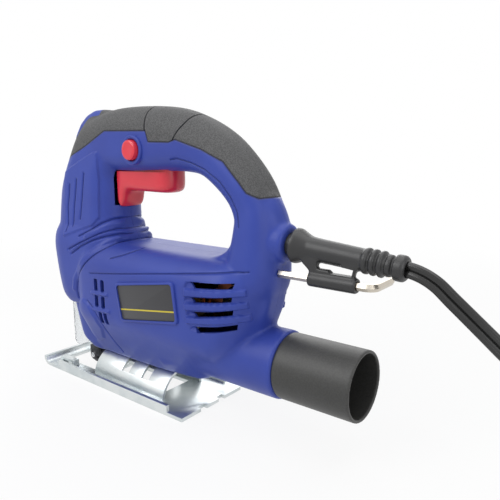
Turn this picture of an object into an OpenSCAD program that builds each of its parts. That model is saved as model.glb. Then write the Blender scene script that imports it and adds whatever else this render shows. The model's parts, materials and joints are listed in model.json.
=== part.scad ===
// Jigsaw: a mains power tool with a D handle, a tilting sole plate and a dust adapter.
// X runs from the cutting end (minus) to the cord end (plus), Y across, Z up from the
// underside of the sole. The saw blade would hang on the plunger axis.

/* [Sole plate] */
// Length of the sole plate
sole_l = 158; // [148:1:168]
// Width of the sole plate
sole_w = 60; // [58:1:64]
// Thickness of the sole's sheet
sole_t = 2.5; // [2:0.1:3]
// Height of the turned-up side edges
lip_h = 7; // [5:0.5:8]
// Outer radius of the half-round saddle that the casing tilts on
saddle_r = 19.7; // [19:0.1:20.5]
// Length of the saddle
saddle_l = 76; // [70:1:80]
// Width of the blade window in the sole
window_w = 32; // [28:1:34]

/* [Casing] */
// Wall of the casing
wall = 3; // [2.6:0.1:3.2]
// Width of the motor barrel
barrel_w = 64; // [63:1:68]
// Height of the barrel's back above the sole
barrel_top = 107; // [104:0.5:110]
// Width of the gear head
head_w = 54; // [53:1:60]
// Width of the column under the handle
column_w = 40; // [38:1:44]
// Width of the handle
handle_w = 38; // [36:1:42]
// Height of the handle's top above the sole
handle_top = 201; // [194:1:208]
// Thickness of the handle over the trigger, from its top to its underside
handle_h = 44; // [42:0.5:48]
// Thickness of the rubber grip
grip_t = 1.6; // [1.2:0.1:1.8]
// Outer radius of the dust duct
duct_r = 21; // [20.5:0.1:22]
// Height of the dust duct's axis
duct_z = 45; // [44:0.5:46]
// Free length between the rear bearing and the back of the barrel
rear_room = 29.5; // [26:0.5:34]

/* [Motor] */
// Height of the motor axis
motor_z = 76; // [75:0.5:77]
// Outer radius of the stator
stator_r = 27.3; // [27:0.1:28.6]
// Radius of the armature core
armature_r = 18; // [16:0.5:19]
// Length of the stator and of the armature core
core_l = 48; // [40:1:52]
// Length of the armature's end turns
winding_l = 10; // [8:0.5:12]
// Radius of the cooling fan
fan_r = 25; // [22:0.5:26]
// Width of the cooling fan
fan_t = 12; // [9:0.5:13]
// Radius of the commutator
commutator_r = 12; // [11:0.5:13]
// Length of the commutator
commutator_l = 16; // [14:0.5:20]
// Radius of the armature shaft
shaft_r = 4; // [3.5:0.1:4.5]
// Outer radius of the front bearing
front_bearing_r = 11; // [10:0.5:13]
// Outer radius of the rear bearing
rear_bearing_r = 9.5; // [8.5:0.5:11]

/* [Drive] */
// Module of the gear teeth
tooth_module = 0.75; // [0.7:0.01:0.78]
// Teeth on the pinion
pinion_teeth = 7; // [7:1:8]
// Teeth on the drive gear
gear_teeth = 57; // [54:1:58]
// Width of the drive gear
gear_t = 8; // [6:0.5:10]
// Throw of the crank, half the stroke of the blade
crank_throw = 9; // [8:0.5:10]
// Radius of the plunger
plunger_r = 4.5; // [4:0.1:5]
// Length of the plunger
plunger_l = 112; // [110:1:114]
// Radius of the blade clamp
clamp_r = 6.5; // [6:0.1:7]
// Radius of the guide roller
roller_r = 6.75; // [6:0.05:7]
// Width of the guide roller
roller_w = 9; // [7:0.5:10]

/* [Controls] */
// Width of the trigger
trigger_w = 20; // [14:0.5:20]
// How far the trigger travels
trigger_travel = 6; // [4:0.5:6.5]
// Radius of the lock-on button
button_r = 6.7; // [6:0.1:7.5]
// How far the lock-on button travels
button_travel = 3; // [2:0.5:3.5]

/* [Fittings] */
// Outer radius of the dust adapter
adapter_r = 20; // [19.5:0.1:20.5]
// Bore radius of the dust adapter, for the vacuum hose
adapter_bore_r = 18; // [17.5:0.1:18.3]
// Length of the dust adapter behind the duct
adapter_l = 49; // [40:1:60]
// Length of the cord relief behind its boss
relief_l = 70; // [64:1:72]
// Radius of the cord relief's end flange
relief_flange_r = 8.3; // [7:0.1:9]
// Size of the hex key across its flats
hex_key_af = 4; // [3.5:0.1:4.2]
// Radius of one core of the twin flex
core_r = 2.1; // [1.9:0.1:2.2]

/* [Hidden] */
$fn = 48;
eps = 0.01;

// Clearances: fit for what is seated, run for what turns or slides, soft for the rest
fit = 0.1;
run = 0.05;
soft = 0.3;

// Heights and places of the main axes
gear_z = motor_z + tooth_module * (pinion_teeth + gear_teeth) / 2;
plunger_x = -122;
sole_x0 = plunger_x - 23;
sole_x1 = sole_x0 + sole_l;
saddle_x0 = -92;
saddle_x1 = saddle_x0 + saddle_l;
roller_x = plunger_x + plunger_r - 0.25 + roller_r;
roller_z = roller_r + 1.5;

// The drive, chained rearwards from the plunger
yoke_x1 = plunger_x + plunger_r + 8.5;
crank_x0 = yoke_x1 + soft;
gear_x0 = crank_x0 + 7;
gear_x1 = gear_x0 + gear_t;
plate_x0 = gear_x1 + 1;
plate_t = 10;
plate_x1 = plate_x0 + plate_t;
fan_x0 = plate_x1 + 3;
fan_x1 = fan_x0 + fan_t;
core_x0 = fan_x1 + 5 + winding_l;
core_x1 = core_x0 + core_l;
comm_x0 = core_x1 + winding_l + 2;
comm_x1 = comm_x0 + commutator_l;
brush_x = (comm_x0 + comm_x1) / 2;
front_bearing_t = 7;
rear_bearing_t = 6;
rear_x0 = comm_x1 + 9;
rear_x1 = rear_x0 + rear_bearing_t;
shaft_x1 = rear_x1 + 1;
sleeve_r = rear_bearing_r + 1.5;
deck_z = 39.5;
duct_roof_z = 58;
rib_spans = [
  [plate_x0 + 2, plate_x0 + 6], [fan_x1 + 0.5, fan_x1 + 3.3], [core_x0 + 6, core_x0 + 9], [core_x1 - 9, core_x1 - 6],
  [brush_x - 3.5, brush_x + 3.5], [rear_x0 - 1, rear_x1 + 1.5]
];
spigot_r = adapter_r - 1.5;

// The casing's outline
barrel_hw = barrel_w / 2;
head_hw = head_w / 2;
column_hw = column_w / 2;
handle_hw = handle_w / 2;
barrel_x1 = rear_x1 + rear_room;
duct_x1 = barrel_x1 + 7;
keel_z = saddle_r - 2.7;
seat_r = saddle_r + soft;
column_back = -65;
throat_z = barrel_top + 0.5;
handle_r = handle_h / 2;
underside_z = handle_top - handle_h;

// The cord relief leaves its boss at this point and droops by this angle
relief_x = barrel_x1 + 6;
relief_z = 118.3;
relief_tilt = 4.7;

// Height of the relief's axis at x
function axis_z(x) = relief_z - (x - relief_x) * tan(relief_tilt);

// Height at a share of the way from the relief up to the handle's top
function rise(share) = relief_z + share * (handle_top - relief_z);

// Stations of the barrel: x, half width, top, bottom, half width of the keel
barrel_stations = [
  [-94, head_hw + 1, barrel_top - 6, keel_z, 5],
  [-84, barrel_hw - 0.8, barrel_top - 1, keel_z, 5],
  [-60, barrel_hw, barrel_top, keel_z, 5],
  [8, barrel_hw, barrel_top, keel_z + 3, 5],
  [barrel_x1 - 27, barrel_hw - 2, barrel_top, duct_z, 8],
  [barrel_x1 - 16, barrel_hw - 6.5, barrel_top - 0.5, duct_z + 6, 6],
  [barrel_x1 - 7, barrel_hw - 14, barrel_top - 2, duct_z + 12, 4],
  [barrel_x1, barrel_hw - 23, barrel_top - 7, duct_z + 20, 2]
];

// Stations of the head and column: z, front, back, half width
head_stations = [
  [56, -131, -80, head_hw - 5],
  [62, -135.5, -76, head_hw - 2],
  [73, -138, -70, head_hw - 0.5],
  [88, -140.5, -64, head_hw],
  [101, -142, -60, head_hw],
  [109, -141.5, -57, head_hw - 1.5],
  [116, -138.5, column_back + 4, column_hw + 1.8]
];
column_stations = [
  [114, -138.5, column_back + 3, column_hw + 1.5],
  [rise(0.105), -137, column_back, column_hw + 0.5],
  [rise(0.275), -134.5, column_back, column_hw],
  [rise(0.395), -130.5, column_back, column_hw],
  [rise(0.565), -123, column_back + 5, column_hw - 0.8],
  [rise(0.722), -115.5, column_back + 5, handle_hw - 0.7],
  [handle_top - 14, -109.5, column_back, handle_hw - 1.5],
  [handle_top - 7, -103, column_back - 5, handle_hw - 4],
  [handle_top - 1.5, -94, column_back - 10, handle_hw - 9]
];

// Stations of the nose around the blade clamp: z, front, back, half width
nose_stations = [
  [keel_z + 1, -111, -84, 11],
  [22, -114, -84, 13],
  [25, -121, -84, 13.5],
  [36, -125, -84, 14],
  [58, -131, -84, 15]
];

// Stations of the handle: x, z, radius, half width
handle_stations = [
  [-88, handle_top - handle_r, handle_r, handle_hw],
  [-47, handle_top - handle_r, handle_r, handle_hw],
  [-16, handle_top - 22.5, 20.5, handle_hw],
  [4, handle_top - 25.5, 18, handle_hw],
  [21, handle_top - 31.5, 15, handle_hw - 0.5],
  [34, handle_top - 41, 13.5, handle_hw - 1],
  [45, handle_top - 52.5, 12.5, handle_hw - 1.5],
  [51, handle_top - 63, 12.5, handle_hw - 2],
  [54, rise(0.105), 13.5, handle_hw - 1],
  [53, throat_z - 10, 16, handle_hw + 2]
];

// Stations of the duct: x, z, radius
duct_stations = [
  [-20, keel_z + 19.5, 18.5],
  [22, duct_z - 0.5, duct_r - 0.3],
  [duct_x1, duct_z, duct_r]
];

boss_r = 11.5;
boss_face_tilt = 17;
neck_r = 6.7;
relief_in = 13;
flange_t = 5;
holder_y = -4;
holder_z = 101;
holder_l = 29;
key_corner_r = hex_key_af / 2 / cos(30);

// Screws that close the casing: x, z
screw_spots = [
  [-94, handle_top - 15], [10, handle_top - 31], [43, handle_top - 55], [-100, handle_top - 55],
  [-91, 44], [-60, 41.5], [14, 39], [60, 90]
];
screw_seat_y = 12;

// Outline of the trigger, seen from the left
trigger_x0 = -68.5;
trigger_x1 = -14.5;
hook_x1 = -57;
trigger_z1 = underside_z + 3.5;
trigger_foot = trigger_z1 - 27.2;
plunger_z = trigger_z1 - 6.5;
trigger_outline = [
  [trigger_x0, trigger_z1], [trigger_x0, trigger_foot + 5.7], [trigger_x0 + 2, trigger_foot + 1.7],
  [trigger_x0 + 6, trigger_foot], [hook_x1 - 2, trigger_foot + 1.2], [hook_x1, trigger_foot + 4.7],
  [hook_x1, trigger_foot + 8.7], [hook_x1 + 2.5, trigger_foot + 11.9], [trigger_x1 - 7.5, trigger_foot + 9.7],
  [trigger_x1 - 2.5, trigger_foot + 11.7], [trigger_x1, trigger_foot + 16.7], [trigger_x1, plunger_z],
  [trigger_x1 - 4.5, plunger_z + 2], [trigger_x1 - 4.5, trigger_z1]
];

// The switch above the trigger
switch_x0 = -62;
switch_l = 44;
switch_z0 = trigger_z1 + trigger_travel + 1;
switch_h = 22;
switch_hw = 9;
switch_mid = switch_x0 + 16;
plunger_tip_r = 3;
plunger_tip_l = 20;
button_x = -38;
button_z = handle_top - 29.5;
button_face = handle_hw + 4;
button_flange_r = button_r + 1.6;
button_y0 = trigger_w / 2 + button_travel + 0.5;
button_y1 = handle_hw - wall - 0.5;

// Places of the vents and plates on the barrel
vent_tilt = 4;
rear_vent_x = barrel_x1 - 51;
front_vent_x = fan_x1 + 6.5;
label = [[-44.5, 82], [8, 90.5], [12, 66], [-38, 58]];

// Lower edge of the rubber grip, and beyond it everything above
grip_edge = [
  [-150, handle_top - 49], [-118, handle_top - 37], [-96, handle_top - 29], [-67, handle_top - 16.5],
  [-25, handle_top - 17.5], [-22.5, handle_top - 24.5], [-4, handle_top - 25], [2, handle_top - 23.5],
  [22.5, handle_top - 29.5], [38, handle_top - 36.5], [49, handle_top - 48], [54, handle_top - 54],
  [60, handle_top - 57], [90, handle_top - 54], [90, handle_top + 29], [-150, handle_top + 29]
];

// Seams between the grip's three segments
grip_seams = [
  [[-25.4, handle_top - 21], [-24.2, handle_top - 21], [-31, handle_top + 9], [-32.2, handle_top + 9]],
  [[-4.6, handle_top - 29], [-3.4, handle_top - 29], [6.5, handle_top - 14], [10, handle_top - 3],
    [9, handle_top - 3], [5.4, handle_top - 13.7]]
];

// The twin flex: x, y, z, and the turn of its flat about its run. It runs straight through the
// relief, bends down behind it and passes beside the hose's way
flex_x0 = 50;
exit_x = 142;
flex_bend = 34;
cord_route = [
  for (x = [flex_x0, 79, 112, 128, 134, 138, exit_x]) [x, 0, axis_z(x), 90],
  for (a = [11, 18, 25, 32, 38.5]) [
    exit_x + flex_bend * (sin(a) - sin(relief_tilt)), 0,
    axis_z(exit_x) - flex_bend * (cos(relief_tilt) - cos(a)), 90 - 0.3 * (a - relief_tilt)
  ],
  [165, 0, 101.4, 78], [170.5, 0, 96.9, 77], [178, -0.5, 91, 74], [187, -2.2, 84.4, 70],
  [197, -5.4, 77.5, 70], [206.5, -10.8, 69.6, 72], [214.5, -17.1, 61.4, 76], [221.5, -22, 52.2, 79],
  [228, -24.9, 42, 74], [235, -25.2, 32.3, 62], [243.2, -25.2, 23, 44], [253, -25.2, 14.7, 24],
  [264, -25.2, 8.5, 8], [278.5, -25.2, 4.2, 0]
];

// The hank that the rest of the flex is folded into, five turns high
hank_x = 361.5;
hank_run = 61.5;
hank_r1 = 29.4;
hank_r0 = 21;
hank_h = 21.2;
hank_z = 1;
tie_w = 14;
tie_t = 0.8;
plug_x = 505;
plug_y = -18;
plug_l = 20;
plug_entry_z = 6;
tail_x0 = 428;
tail_drop = 14.1;
tail_side = 7.2;

// From the hank's top turn down to the plug
tail_route = [
  for (i = [0 : 6])
    let (t = 0.31 + 0.69 * i / 6, e = t * t * (3 - 2 * t)) [
      tail_x0 + t * (plug_x - plug_l - soft - tail_x0), plug_y - (1 - e) * tail_side,
      plug_entry_z + (1 - e) * tail_drop, 0
    ]
];

// Small named sizes
press = 0.02;
slab = 0.1;
skin = grip_t + 2 * fit;
shield_t = 1.8;
shield_w = 16;
shield_x = -133;
shield_z0 = 11;
bracket_x0 = plunger_x + 10;
bracket_x1 = plunger_x + 18;
chamber_top = 60;
guide_wall = 3;
bevel_xs = [-59, -37.5];
saddle_t = 2;
bevel_bar_r = saddle_r - saddle_t - fit;
bevel_bar_t = 5;
bevel_screw_r = 3;
bevel_head_r = 4.4;
bevel_head_z = bevel_bar_r - 9;
bevel_head_h = sqrt(pow(bevel_bar_r - bevel_bar_t, 2) - pow(bevel_head_r, 2)) - bevel_head_z - fit;
clamp_x = 52.5;
clamp_zs = [109.5, 131.5];
clamp_z0 = 30;
brush_y1 = 22;
holder_y1 = barrel_hw - wall - 1.05;
holder_end = 1.4;
spigot_l = 15.5;

// Shared shapes

// Lays a shape drawn in X and Y along the X axis: its x becomes Y, its y becomes Z
module along_x(x, length) {
  translate([x, 0, 0])
    rotate([90, 0, 90])
      linear_extrude(length)
        children();
}

// Raises a side view, drawn in X and Z, between two values of Y
module side_view(y0, y1) {
  translate([0, y1, 0])
    rotate([90, 0, 0])
      linear_extrude(y1 - y0)
        children();
}

module rod_x(x0, x1, r, z = 0, y = 0) {
  translate([x0, y, z])
    rotate([0, 90, 0])
      cylinder(h = x1 - x0, r = r);
}

module rod_y(x, z, y0, y1, r) {
  translate([x, y0, z])
    rotate([-90, 0, 0])
      cylinder(h = y1 - y0, r = r);
}

module tube_x(x0, x1, r1, r0, z = 0) {
  translate([x0, 0, z])
    rotate([0, 90, 0])
      difference() {
        cylinder(h = x1 - x0, r = r1);
        translate([0, 0, -1])
          cylinder(h = x1 - x0 + 2, r = r0);
      }
}

// A wound spring drawn closed up, along Z
module coil_spring(length, r, wire_r) {
  turns = floor(length / (2 * wire_r));
  step = (length - 2 * wire_r) / (turns - 1);
  rotate_extrude()
    translate([r, 0])
      for (i = [0 : turns - 1])
        translate([0, wire_r + i * step])
          circle(wire_r * 1.03);
}

// Sides of the casing's round parts: fine outside, and plainer where the skin is inset by k
function sides(k) = k == 0 ? 28 : 16;

module barrel_slab(s, x, k) {
  r1 = min(18, s[1]);
  r2 = min(20, s[1]);
  mid = max(60, s[3] + r2);
  along_x(x, slab)
    hull()
      for (side = [-1, 1]) {
        translate([side * (s[1] - r1), s[2] - r1])
          circle(r1 - k, $fn = sides(k));
        translate([side * (s[1] - r2), mid])
          circle(r2 - k, $fn = sides(k));
        translate([side * s[4], s[3] + 8])
          circle(8 - k, $fn = sides(k));
      }
}

module barrel(k) {
  n = len(barrel_stations) - 1;
  for (i = [0 : n - 1])
    hull() {
      barrel_slab(barrel_stations[i], barrel_stations[i][0], k);
      barrel_slab(barrel_stations[i + 1], barrel_stations[i + 1][0] - (i == n - 1 ? k : 0), k);
    }
}

module plan_slab(s, z, k) {
  translate([0, 0, z])
    linear_extrude(slab)
      hull() {
        translate([s[1] + s[3], 0])
          circle(s[3] - k, $fn = sides(k));
        translate([s[2] - s[3], 0])
          circle(s[3] - k, $fn = sides(k));
      }
}

module tower(stations, k, foot) {
  n = len(stations) - 1;
  for (i = [0 : n - 1])
    hull() {
      plan_slab(stations[i], stations[i][0] + (i == 0 ? foot : 0), k);
      plan_slab(stations[i + 1], stations[i + 1][0] - (i == n - 1 ? k : 0), k);
    }
}

module lobe(s, k) {
  r = s[2];
  w = s[3];
  e = min(13, r - 1);
  step = k == 0 ? 22.5 : 45;
  translate([s[0], 0, s[1]])
    rotate([90, 0, 0])
      rotate_extrude($fn = sides(k))
        polygon([
          [0, k - w],
          for (a = [-90 : step : 0]) [r - e + (e - k) * cos(a), e - w + (e - k) * sin(a)],
          for (a = [0 : step : 90]) [r - e + (e - k) * cos(a), w - e + (e - k) * sin(a)],
          [0, w - k]
        ]);
}

module handle(k) {
  for (i = [0 : len(handle_stations) - 2])
    hull() {
      lobe(handle_stations[i], k);
      lobe(handle_stations[i + 1], k);
    }
}

module duct(k) {
  for (i = [0 : len(duct_stations) - 2])
    hull()
      for (j = [i, i + 1])
        translate([duct_stations[j][0], 0, duct_stations[j][1]])
          rotate([0, 90, 0])
            cylinder(h = slab, r = duct_stations[j][2] - k, $fn = k == 0 ? 40 : 24);
}

// The collars around the foot of the column, tilted down towards the front
module collars() {
  for (c = [[109, 2.2, 5.5], [115, 1, 5]])
    translate([column_back - 35, 0, c[0]])
      rotate([0, -9, 0])
        linear_extrude(c[2])
          hull()
            for (x = [column_hw - 38.5, 38 - column_hw])
              translate([x, 0])
                circle(column_hw + 0.5 + c[1], $fn = 28);
}

module casing(k) {
  barrel(k);
  tower(head_stations, k, k);
  tower(column_stations, k, -k);
  tower(nose_stations, k, k);
  handle(k);
  duct(k);
}

// The boss that the cord relief leaves through, its face tilted downwards
module relief_boss() {
  difference() {
    translate([relief_x + 4, 0, relief_z])
      rotate([0, 90 + relief_tilt, 0])
        translate([0, 0, -30])
          cylinder(h = 30, r = boss_r);
    translate([relief_x, 0, relief_z])
      rotate([0, boss_face_tilt, 0])
        translate([0, -30, -30])
          cube([30, 60, 60]);
  }
}

// Casing details

// A slab of material that fills the casing's section between two values of X and of Z
module floor_block(x0, x1, z0, z1) {
  intersection() {
    casing(skin);
    translate([x0, -60, z0])
      cube([x1 - x0, 120, z1 - z0]);
  }
}

module brush_channel(extra) {
  for (side = [-1, 1])
    translate([brush_x - 4.5 - extra, side > 0 ? commutator_r : -40, motor_z - 6.5 - extra])
      cube([9 + 2 * extra, 40 - commutator_r, 13 + 2 * extra]);
}

// Everything inside the walls that carries something
module seats() {
  difference() {
    union() {
      for (r = rib_spans)
        floor_block(r[0], r[1], r[0] > comm_x1 ? duct_roof_z : deck_z, throat_z + 5);
      floor_block(bracket_x1, 20, deck_z, deck_z + 2.5);
      floor_block(plunger_x - 12, plunger_x + 14, 125, 135);
      floor_block(plunger_x - 8, plunger_x + 18, chamber_top, chamber_top + 11);
      for (x = bevel_xs)
        translate([x, 0, saddle_r - 3])
          cylinder(h = deck_z - saddle_r + 4, r = bevel_screw_r + 2.5);
      for (x = [switch_x0 + 3, switch_x0 + switch_l - 6])
        floor_block(x, x + 3, underside_z + 1, handle_top - 3);
    }
    rod_x(plate_x0 - 1, plate_x1, 24 + fit, 86);
    rod_x(fan_x1, core_x1 + 1, stator_r + fit, motor_z);
    rod_x(brush_x - 10, brush_x + 10, commutator_r + 1.2, motor_z);
    rod_x(rear_x0 - 2, rear_x1 + 0.5, sleeve_r + fit, motor_z);
    rod_x(rear_x0 - 2, rear_x1 + 3, shaft_r + 2, motor_z);
    brush_channel(fit);
    for (z = [124, chamber_top - 1])
      translate([plunger_x, 0, z])
        cylinder(h = 13, r = plunger_r + guide_wall + fit);
    translate([switch_x0 - fit, -switch_hw - fit, switch_z0 - fit])
      cube([switch_l + 2 * fit, 2 * (switch_hw + fit), switch_h + 2 * fit]);
    translate([trigger_x0 - 11, -trigger_w / 2 - 1, underside_z - 7])
      cube([trigger_x1 - trigger_x0 + 36, trigger_w + 2, switch_z0 - underside_z + 7 + fit]);
  }
}

module slot(x, z, w, h, tilt) {
  translate([x, 0, z])
    rotate([0, -tilt, 0])
      translate([0, -60, 0])
        cube([w, 120, h]);
}

module vents() {
  for (i = [0 : 3])
    slot(rear_vent_x + 2 * i, 89 - 9.9 * i, 43 - 2 * i, 4.6, vent_tilt);
  for (i = [0 : 2]) {
    slot(front_vent_x, 75.5 - 12.5 * i, 6, 9, 0);
    slot(front_vent_x - 9, 75.5 - 12.5 * i, 3, 9, 0);
  }
}

// What passes through the casing
module openings() {
  // blade chamber, open at the front and below
  translate([-150, -9.5, 0])
    cube([150 + bracket_x1, 19, chamber_top]);
  // socket of the dust adapter
  rod_x(duct_x1 - spigot_l - soft, duct_x1 + 1, spigot_r + fit, duct_z);
  // seat on the saddle
  rod_x(-160, 80, seat_r, 0);
  // trigger slot
  translate([trigger_x0 - soft, -trigger_w / 2 - soft, trigger_foot - 0.4])
    cube([trigger_x1 - trigger_x0 + 2 * soft, trigger_w + 2 * soft, switch_z0 - trigger_foot + 0.3]);
  // chip shield slot in the chin
  translate([shield_x - shield_t / 2 - soft, -shield_w / 2 - soft, 40])
    cube([shield_t + 2 * soft, shield_w + 2 * soft, 45]);
  // bore for the cord relief
  translate([relief_x, 0, relief_z])
    rotate([0, 90 + relief_tilt, 0])
      translate([0, 0, -relief_in - fit]) {
        cylinder(h = relief_in + 10, r = neck_r + fit);
        cylinder(h = flange_t + 2 * fit, r = neck_r + 2.4 + fit);
        translate([0, 0, -12])
          cylinder(h = 16, r = 2 * core_r + 0.8);
      }
}

// Bosses that stand on the wall: for the screws, and on the left for the cable clamp too
module screw_bosses(side, $fn = 20) {
  intersection() {
    casing(skin);
    union() {
      for (p = screw_spots)
        rod_y(p[0], p[1], side < 0 ? -60 : 0, side < 0 ? 0 : 60, side < 0 ? 4 : 5.6);
      if (side < 0)
        for (z = clamp_zs)
          rod_y(clamp_x, z, -60, 0, 3.5);
    }
  }
}

module screw_holes(side, $fn = 20) {
  for (p = screw_spots)
    if (side < 0)
      rod_y(p[0], p[1], -screw_seat_y, 1, 1.95);
    else {
      rod_y(p[0], p[1], -1, screw_seat_y, 2.2);
      rod_y(p[0], p[1], screw_seat_y - eps, 60, 4.2);
    }
}

module grip_region(extra, y0, y1) {
  side_view(y0, y1)
    offset(delta = extra)
      polygon(grip_edge);
}

// Blue ridge that parts the grips at the front of the head
module ridge(extra) {
  translate([-150, -8 - extra, handle_top - 51])
    cube([150 - 86 + extra, 16 + 2 * extra, 80]);
}

// All that the rubber takes up, and beyond the casing
module grip_space(y0, y1, extra) {
  difference() {
    grip_region(extra, y0, y1);
    casing(grip_t + extra);
    ridge(-extra);
  }
}

module label_pad(side) {
  side_view(side < 0 ? -barrel_hw - 1.2 : barrel_hw - 3, side < 0 ? 3 - barrel_hw : barrel_hw + 1.2)
    offset(r = 3)
      polygon(label);
}

module label_pocket(side, extra) {
  side_view(side < 0 ? -barrel_hw - 2 : barrel_hw - 0.1, side < 0 ? 0.1 - barrel_hw : barrel_hw + 2)
    offset(delta = extra)
      polygon(label);
}

module half(side) {
  intersection() {
    difference() {
      union() {
        difference() {
          union() {
            casing(0);
            collars();
            relief_boss();
            label_pad(side);
            if (side < 0)
              rod_y(button_x, button_z, -handle_hw - 1.5, -handle_hw + 4, button_r + 3);
          }
          casing(wall);
          grip_space(-60, 60, fit);
        }
        seats();
        screw_bosses(side);
        relief_collar();
      }
      vents();
      openings();
      screw_holes(side);
      label_pocket(side, fit);
      if (side < 0) {
        rod_y(button_x, button_z, -60, -10, button_r + soft);
        rod_y(button_x, button_z, -button_y1 - soft, -10, button_flange_r + soft);
        for (z = clamp_zs)
          rod_y(clamp_x, z, -9, 1, 1.3 + run);
      }
      for (x = bevel_xs)
        translate([x, 0, 0])
          cylinder(h = deck_z - 3, r = bevel_screw_r + run);
    }
    translate([-200, side < 0 ? -100 : 0, -10])
      cube([400, 100, 300]);
  }
}

// Thickens the wall around the cord relief's inner flange
module relief_collar() {
  translate([relief_x, 0, relief_z])
    rotate([0, 90 + relief_tilt, 0])
      translate([0, 0, -relief_in - 2.5])
        cylinder(h = relief_in, r = neck_r + 4.5);
}

module housing_left() {
  color("royalblue")
    half(-1);
}

module housing_right() {
  color("royalblue")
    half(1);
}

// Grips and plates

module grip_half(side) {
  difference() {
    intersection() {
      casing(0);
      grip_space(side < 0 ? -60 : 0, side < 0 ? 0 : 60, 0);
    }
    for (seam = grip_seams)
      side_view(-61, 61)
        polygon(seam);
  }
}

module grip_left() {
  color("dimgray")
    grip_half(-1);
}

module grip_right() {
  color("dimgray")
    grip_half(1);
}

module name_plate() {
  color("darkslategray")
    side_view(-barrel_hw - 0.8, 0.1 - barrel_hw)
      polygon(label);
}

module rating_plate() {
  color("silver")
    side_view(barrel_hw - 0.1, barrel_hw + 0.8)
      polygon(label);
}

// Controls

// Plan of a finger surface that bulges rearwards from x0 to x1
module finger_plan(x0, x1, bulge) {
  polygon([
    [x0, -trigger_w / 2],
    for (a = [-90 : 15 : 90]) [x1 - bulge + bulge * cos(a), trigger_w / 2 * sin(a)],
    [x0, trigger_w / 2]
  ]);
}

module trigger() {
  color("crimson")
    difference() {
      intersection() {
        side_view(-trigger_w / 2, trigger_w / 2)
          polygon(trigger_outline);
        union() {
          translate([0, 0, trigger_foot - 3.3])
            linear_extrude(14)
              finger_plan(trigger_x0 - 1, hook_x1, 9);
          translate([0, 0, trigger_foot + 10.7 - eps])
            linear_extrude(20)
              finger_plan(trigger_x0 - 1, trigger_x1, 7);
        }
      }
      // hollow that the switch plunger stands in
      translate([switch_mid, 0, plunger_z])
        cylinder(h = 10, r = plunger_tip_r + fit);
    }
}

module switch_plunger() {
  color("white")
    translate([switch_mid, 0, plunger_z])
      cylinder(h = plunger_tip_l, r = plunger_tip_r);
}

module trigger_spring() {
  color("silver")
    translate([switch_mid, 0, plunger_z + plunger_tip_l + fit])
      coil_spring(switch_z0 + 19 - plunger_z - plunger_tip_l - 2 * fit, 2.4, 0.35);
}

module switch_body() {
  color("black")
    difference() {
      translate([switch_x0, -switch_hw, switch_z0])
        cube([switch_l, 2 * switch_hw, switch_h]);
      translate([switch_mid, 0, switch_z0 - 1])
        cylinder(h = 20, r = plunger_tip_r + run);
    }
}

module lock_button() {
  color("red")
    translate([button_x, 0, button_z])
      rotate([90, 0, 0]) {
        translate([0, 0, button_y0])
          cylinder(h = button_face - button_y0 - 1, r = button_r);
        translate([0, 0, button_face - 1])
          cylinder(h = 1, r1 = button_r, r2 = button_r - 1);
        translate([0, 0, button_y1 - 1.4])
          cylinder(h = 1.4, r = button_flange_r);
      }
}

module lock_spring() {
  color("silver")
    translate([button_x, -switch_hw - 0.1, button_z])
      rotate([90, 0, 0])
        coil_spring(button_y1 - 1.4 - switch_hw - 0.2, button_r + 1, 0.35);
}

// Sole

// Bridge that the bar of a parallel guide slides through, sideways
module guide_bridge(x, side) {
  translate([x, side * (sole_w / 2 - 9) - 2.5, sole_t - eps])
    difference() {
      cube([17, 5, 5]);
      translate([2, -1, eps])
        cube([13, 7, 3]);
    }
}

module sole_plate() {
  color("silver") {
    difference() {
      union() {
        translate([sole_x0 + 6, -sole_w / 2, 0])
          cube([sole_l - 6, sole_w, sole_t]);
        // front edge turned up in an arc
        translate([sole_x0 + 6.8, sole_w / 2, 6.8])
          rotate([90, 0, 0])
            rotate([0, 0, 180])
              linear_extrude(sole_w)
                intersection() {
                  difference() {
                    circle(6.8);
                    circle(6.8 - sole_t);
                  }
                  square(20);
                }
        for (side = [-1, 1]) {
          translate([sole_x0 + 20, side > 0 ? sole_w / 2 - sole_t : -sole_w / 2, 0])
            cube([sole_l - 34, sole_t, lip_h]);
          guide_bridge(plunger_x - 9, side);
        }
      }
      // blade window
      translate([plunger_x - 15, -window_w / 2, -1])
        cube([saddle_x0 - plunger_x + 13, window_w, sole_t + 2]);
      // way to the clamping screws
      translate([saddle_x0 + 8, 2 - saddle_r + 3.7, -1])
        cube([saddle_l - 16, 2 * (saddle_r - 5.7), sole_t + 2]);
      // notches in the rear edge
      for (y = [-12, 6])
        translate([sole_x1 - 3, y, -1])
          cube([4, 6, sole_t + 2]);
    }
  }
}

module bevel_saddle() {
  color("lightgray")
    difference() {
      tube_x(saddle_x0, saddle_x1, saddle_r, saddle_r - saddle_t);
      translate([saddle_x0 - 1, -30, sole_t - 60])
        cube([saddle_l + 2, 60, 60]);
      // slots that the clamping screws travel in when the sole tilts
      for (x = bevel_xs)
        translate([x - 4, 0, 0])
          rotate([90, 0, 90])
            linear_extrude(8)
              polygon([[0, 0], for (a = [-57 : 19 : 57]) 40 * [sin(a), cos(a)]]);
    }
}

module bevel_clamp() {
  color("gray")
    difference() {
      intersection() {
        tube_x(bevel_xs[0] - 9, bevel_xs[1] + 9, bevel_bar_r, bevel_bar_r - bevel_bar_t);
        translate([bevel_xs[0] - 10, 0, 0])
          rotate([90, 0, 90])
            linear_extrude(80)
              polygon([[0, 0], 40 * [-sin(28), cos(28)], 40 * [sin(28), cos(28)]]);
      }
      for (x = bevel_xs)
        translate([x, 0, 0])
          cylinder(h = 30, r = bevel_screw_r + run);
    }
}

module bevel_screws() {
  color("dimgray")
    for (x = bevel_xs)
      translate([x, 0, bevel_head_z]) {
        difference() {
          cylinder(h = bevel_head_h, r = bevel_head_r);
          translate([0, 0, -1])
            cylinder(h = bevel_head_h - 0.2, r = key_corner_r + fit, $fn = 6);
        }
        cylinder(h = 24, r = bevel_screw_r);
      }
}

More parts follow.
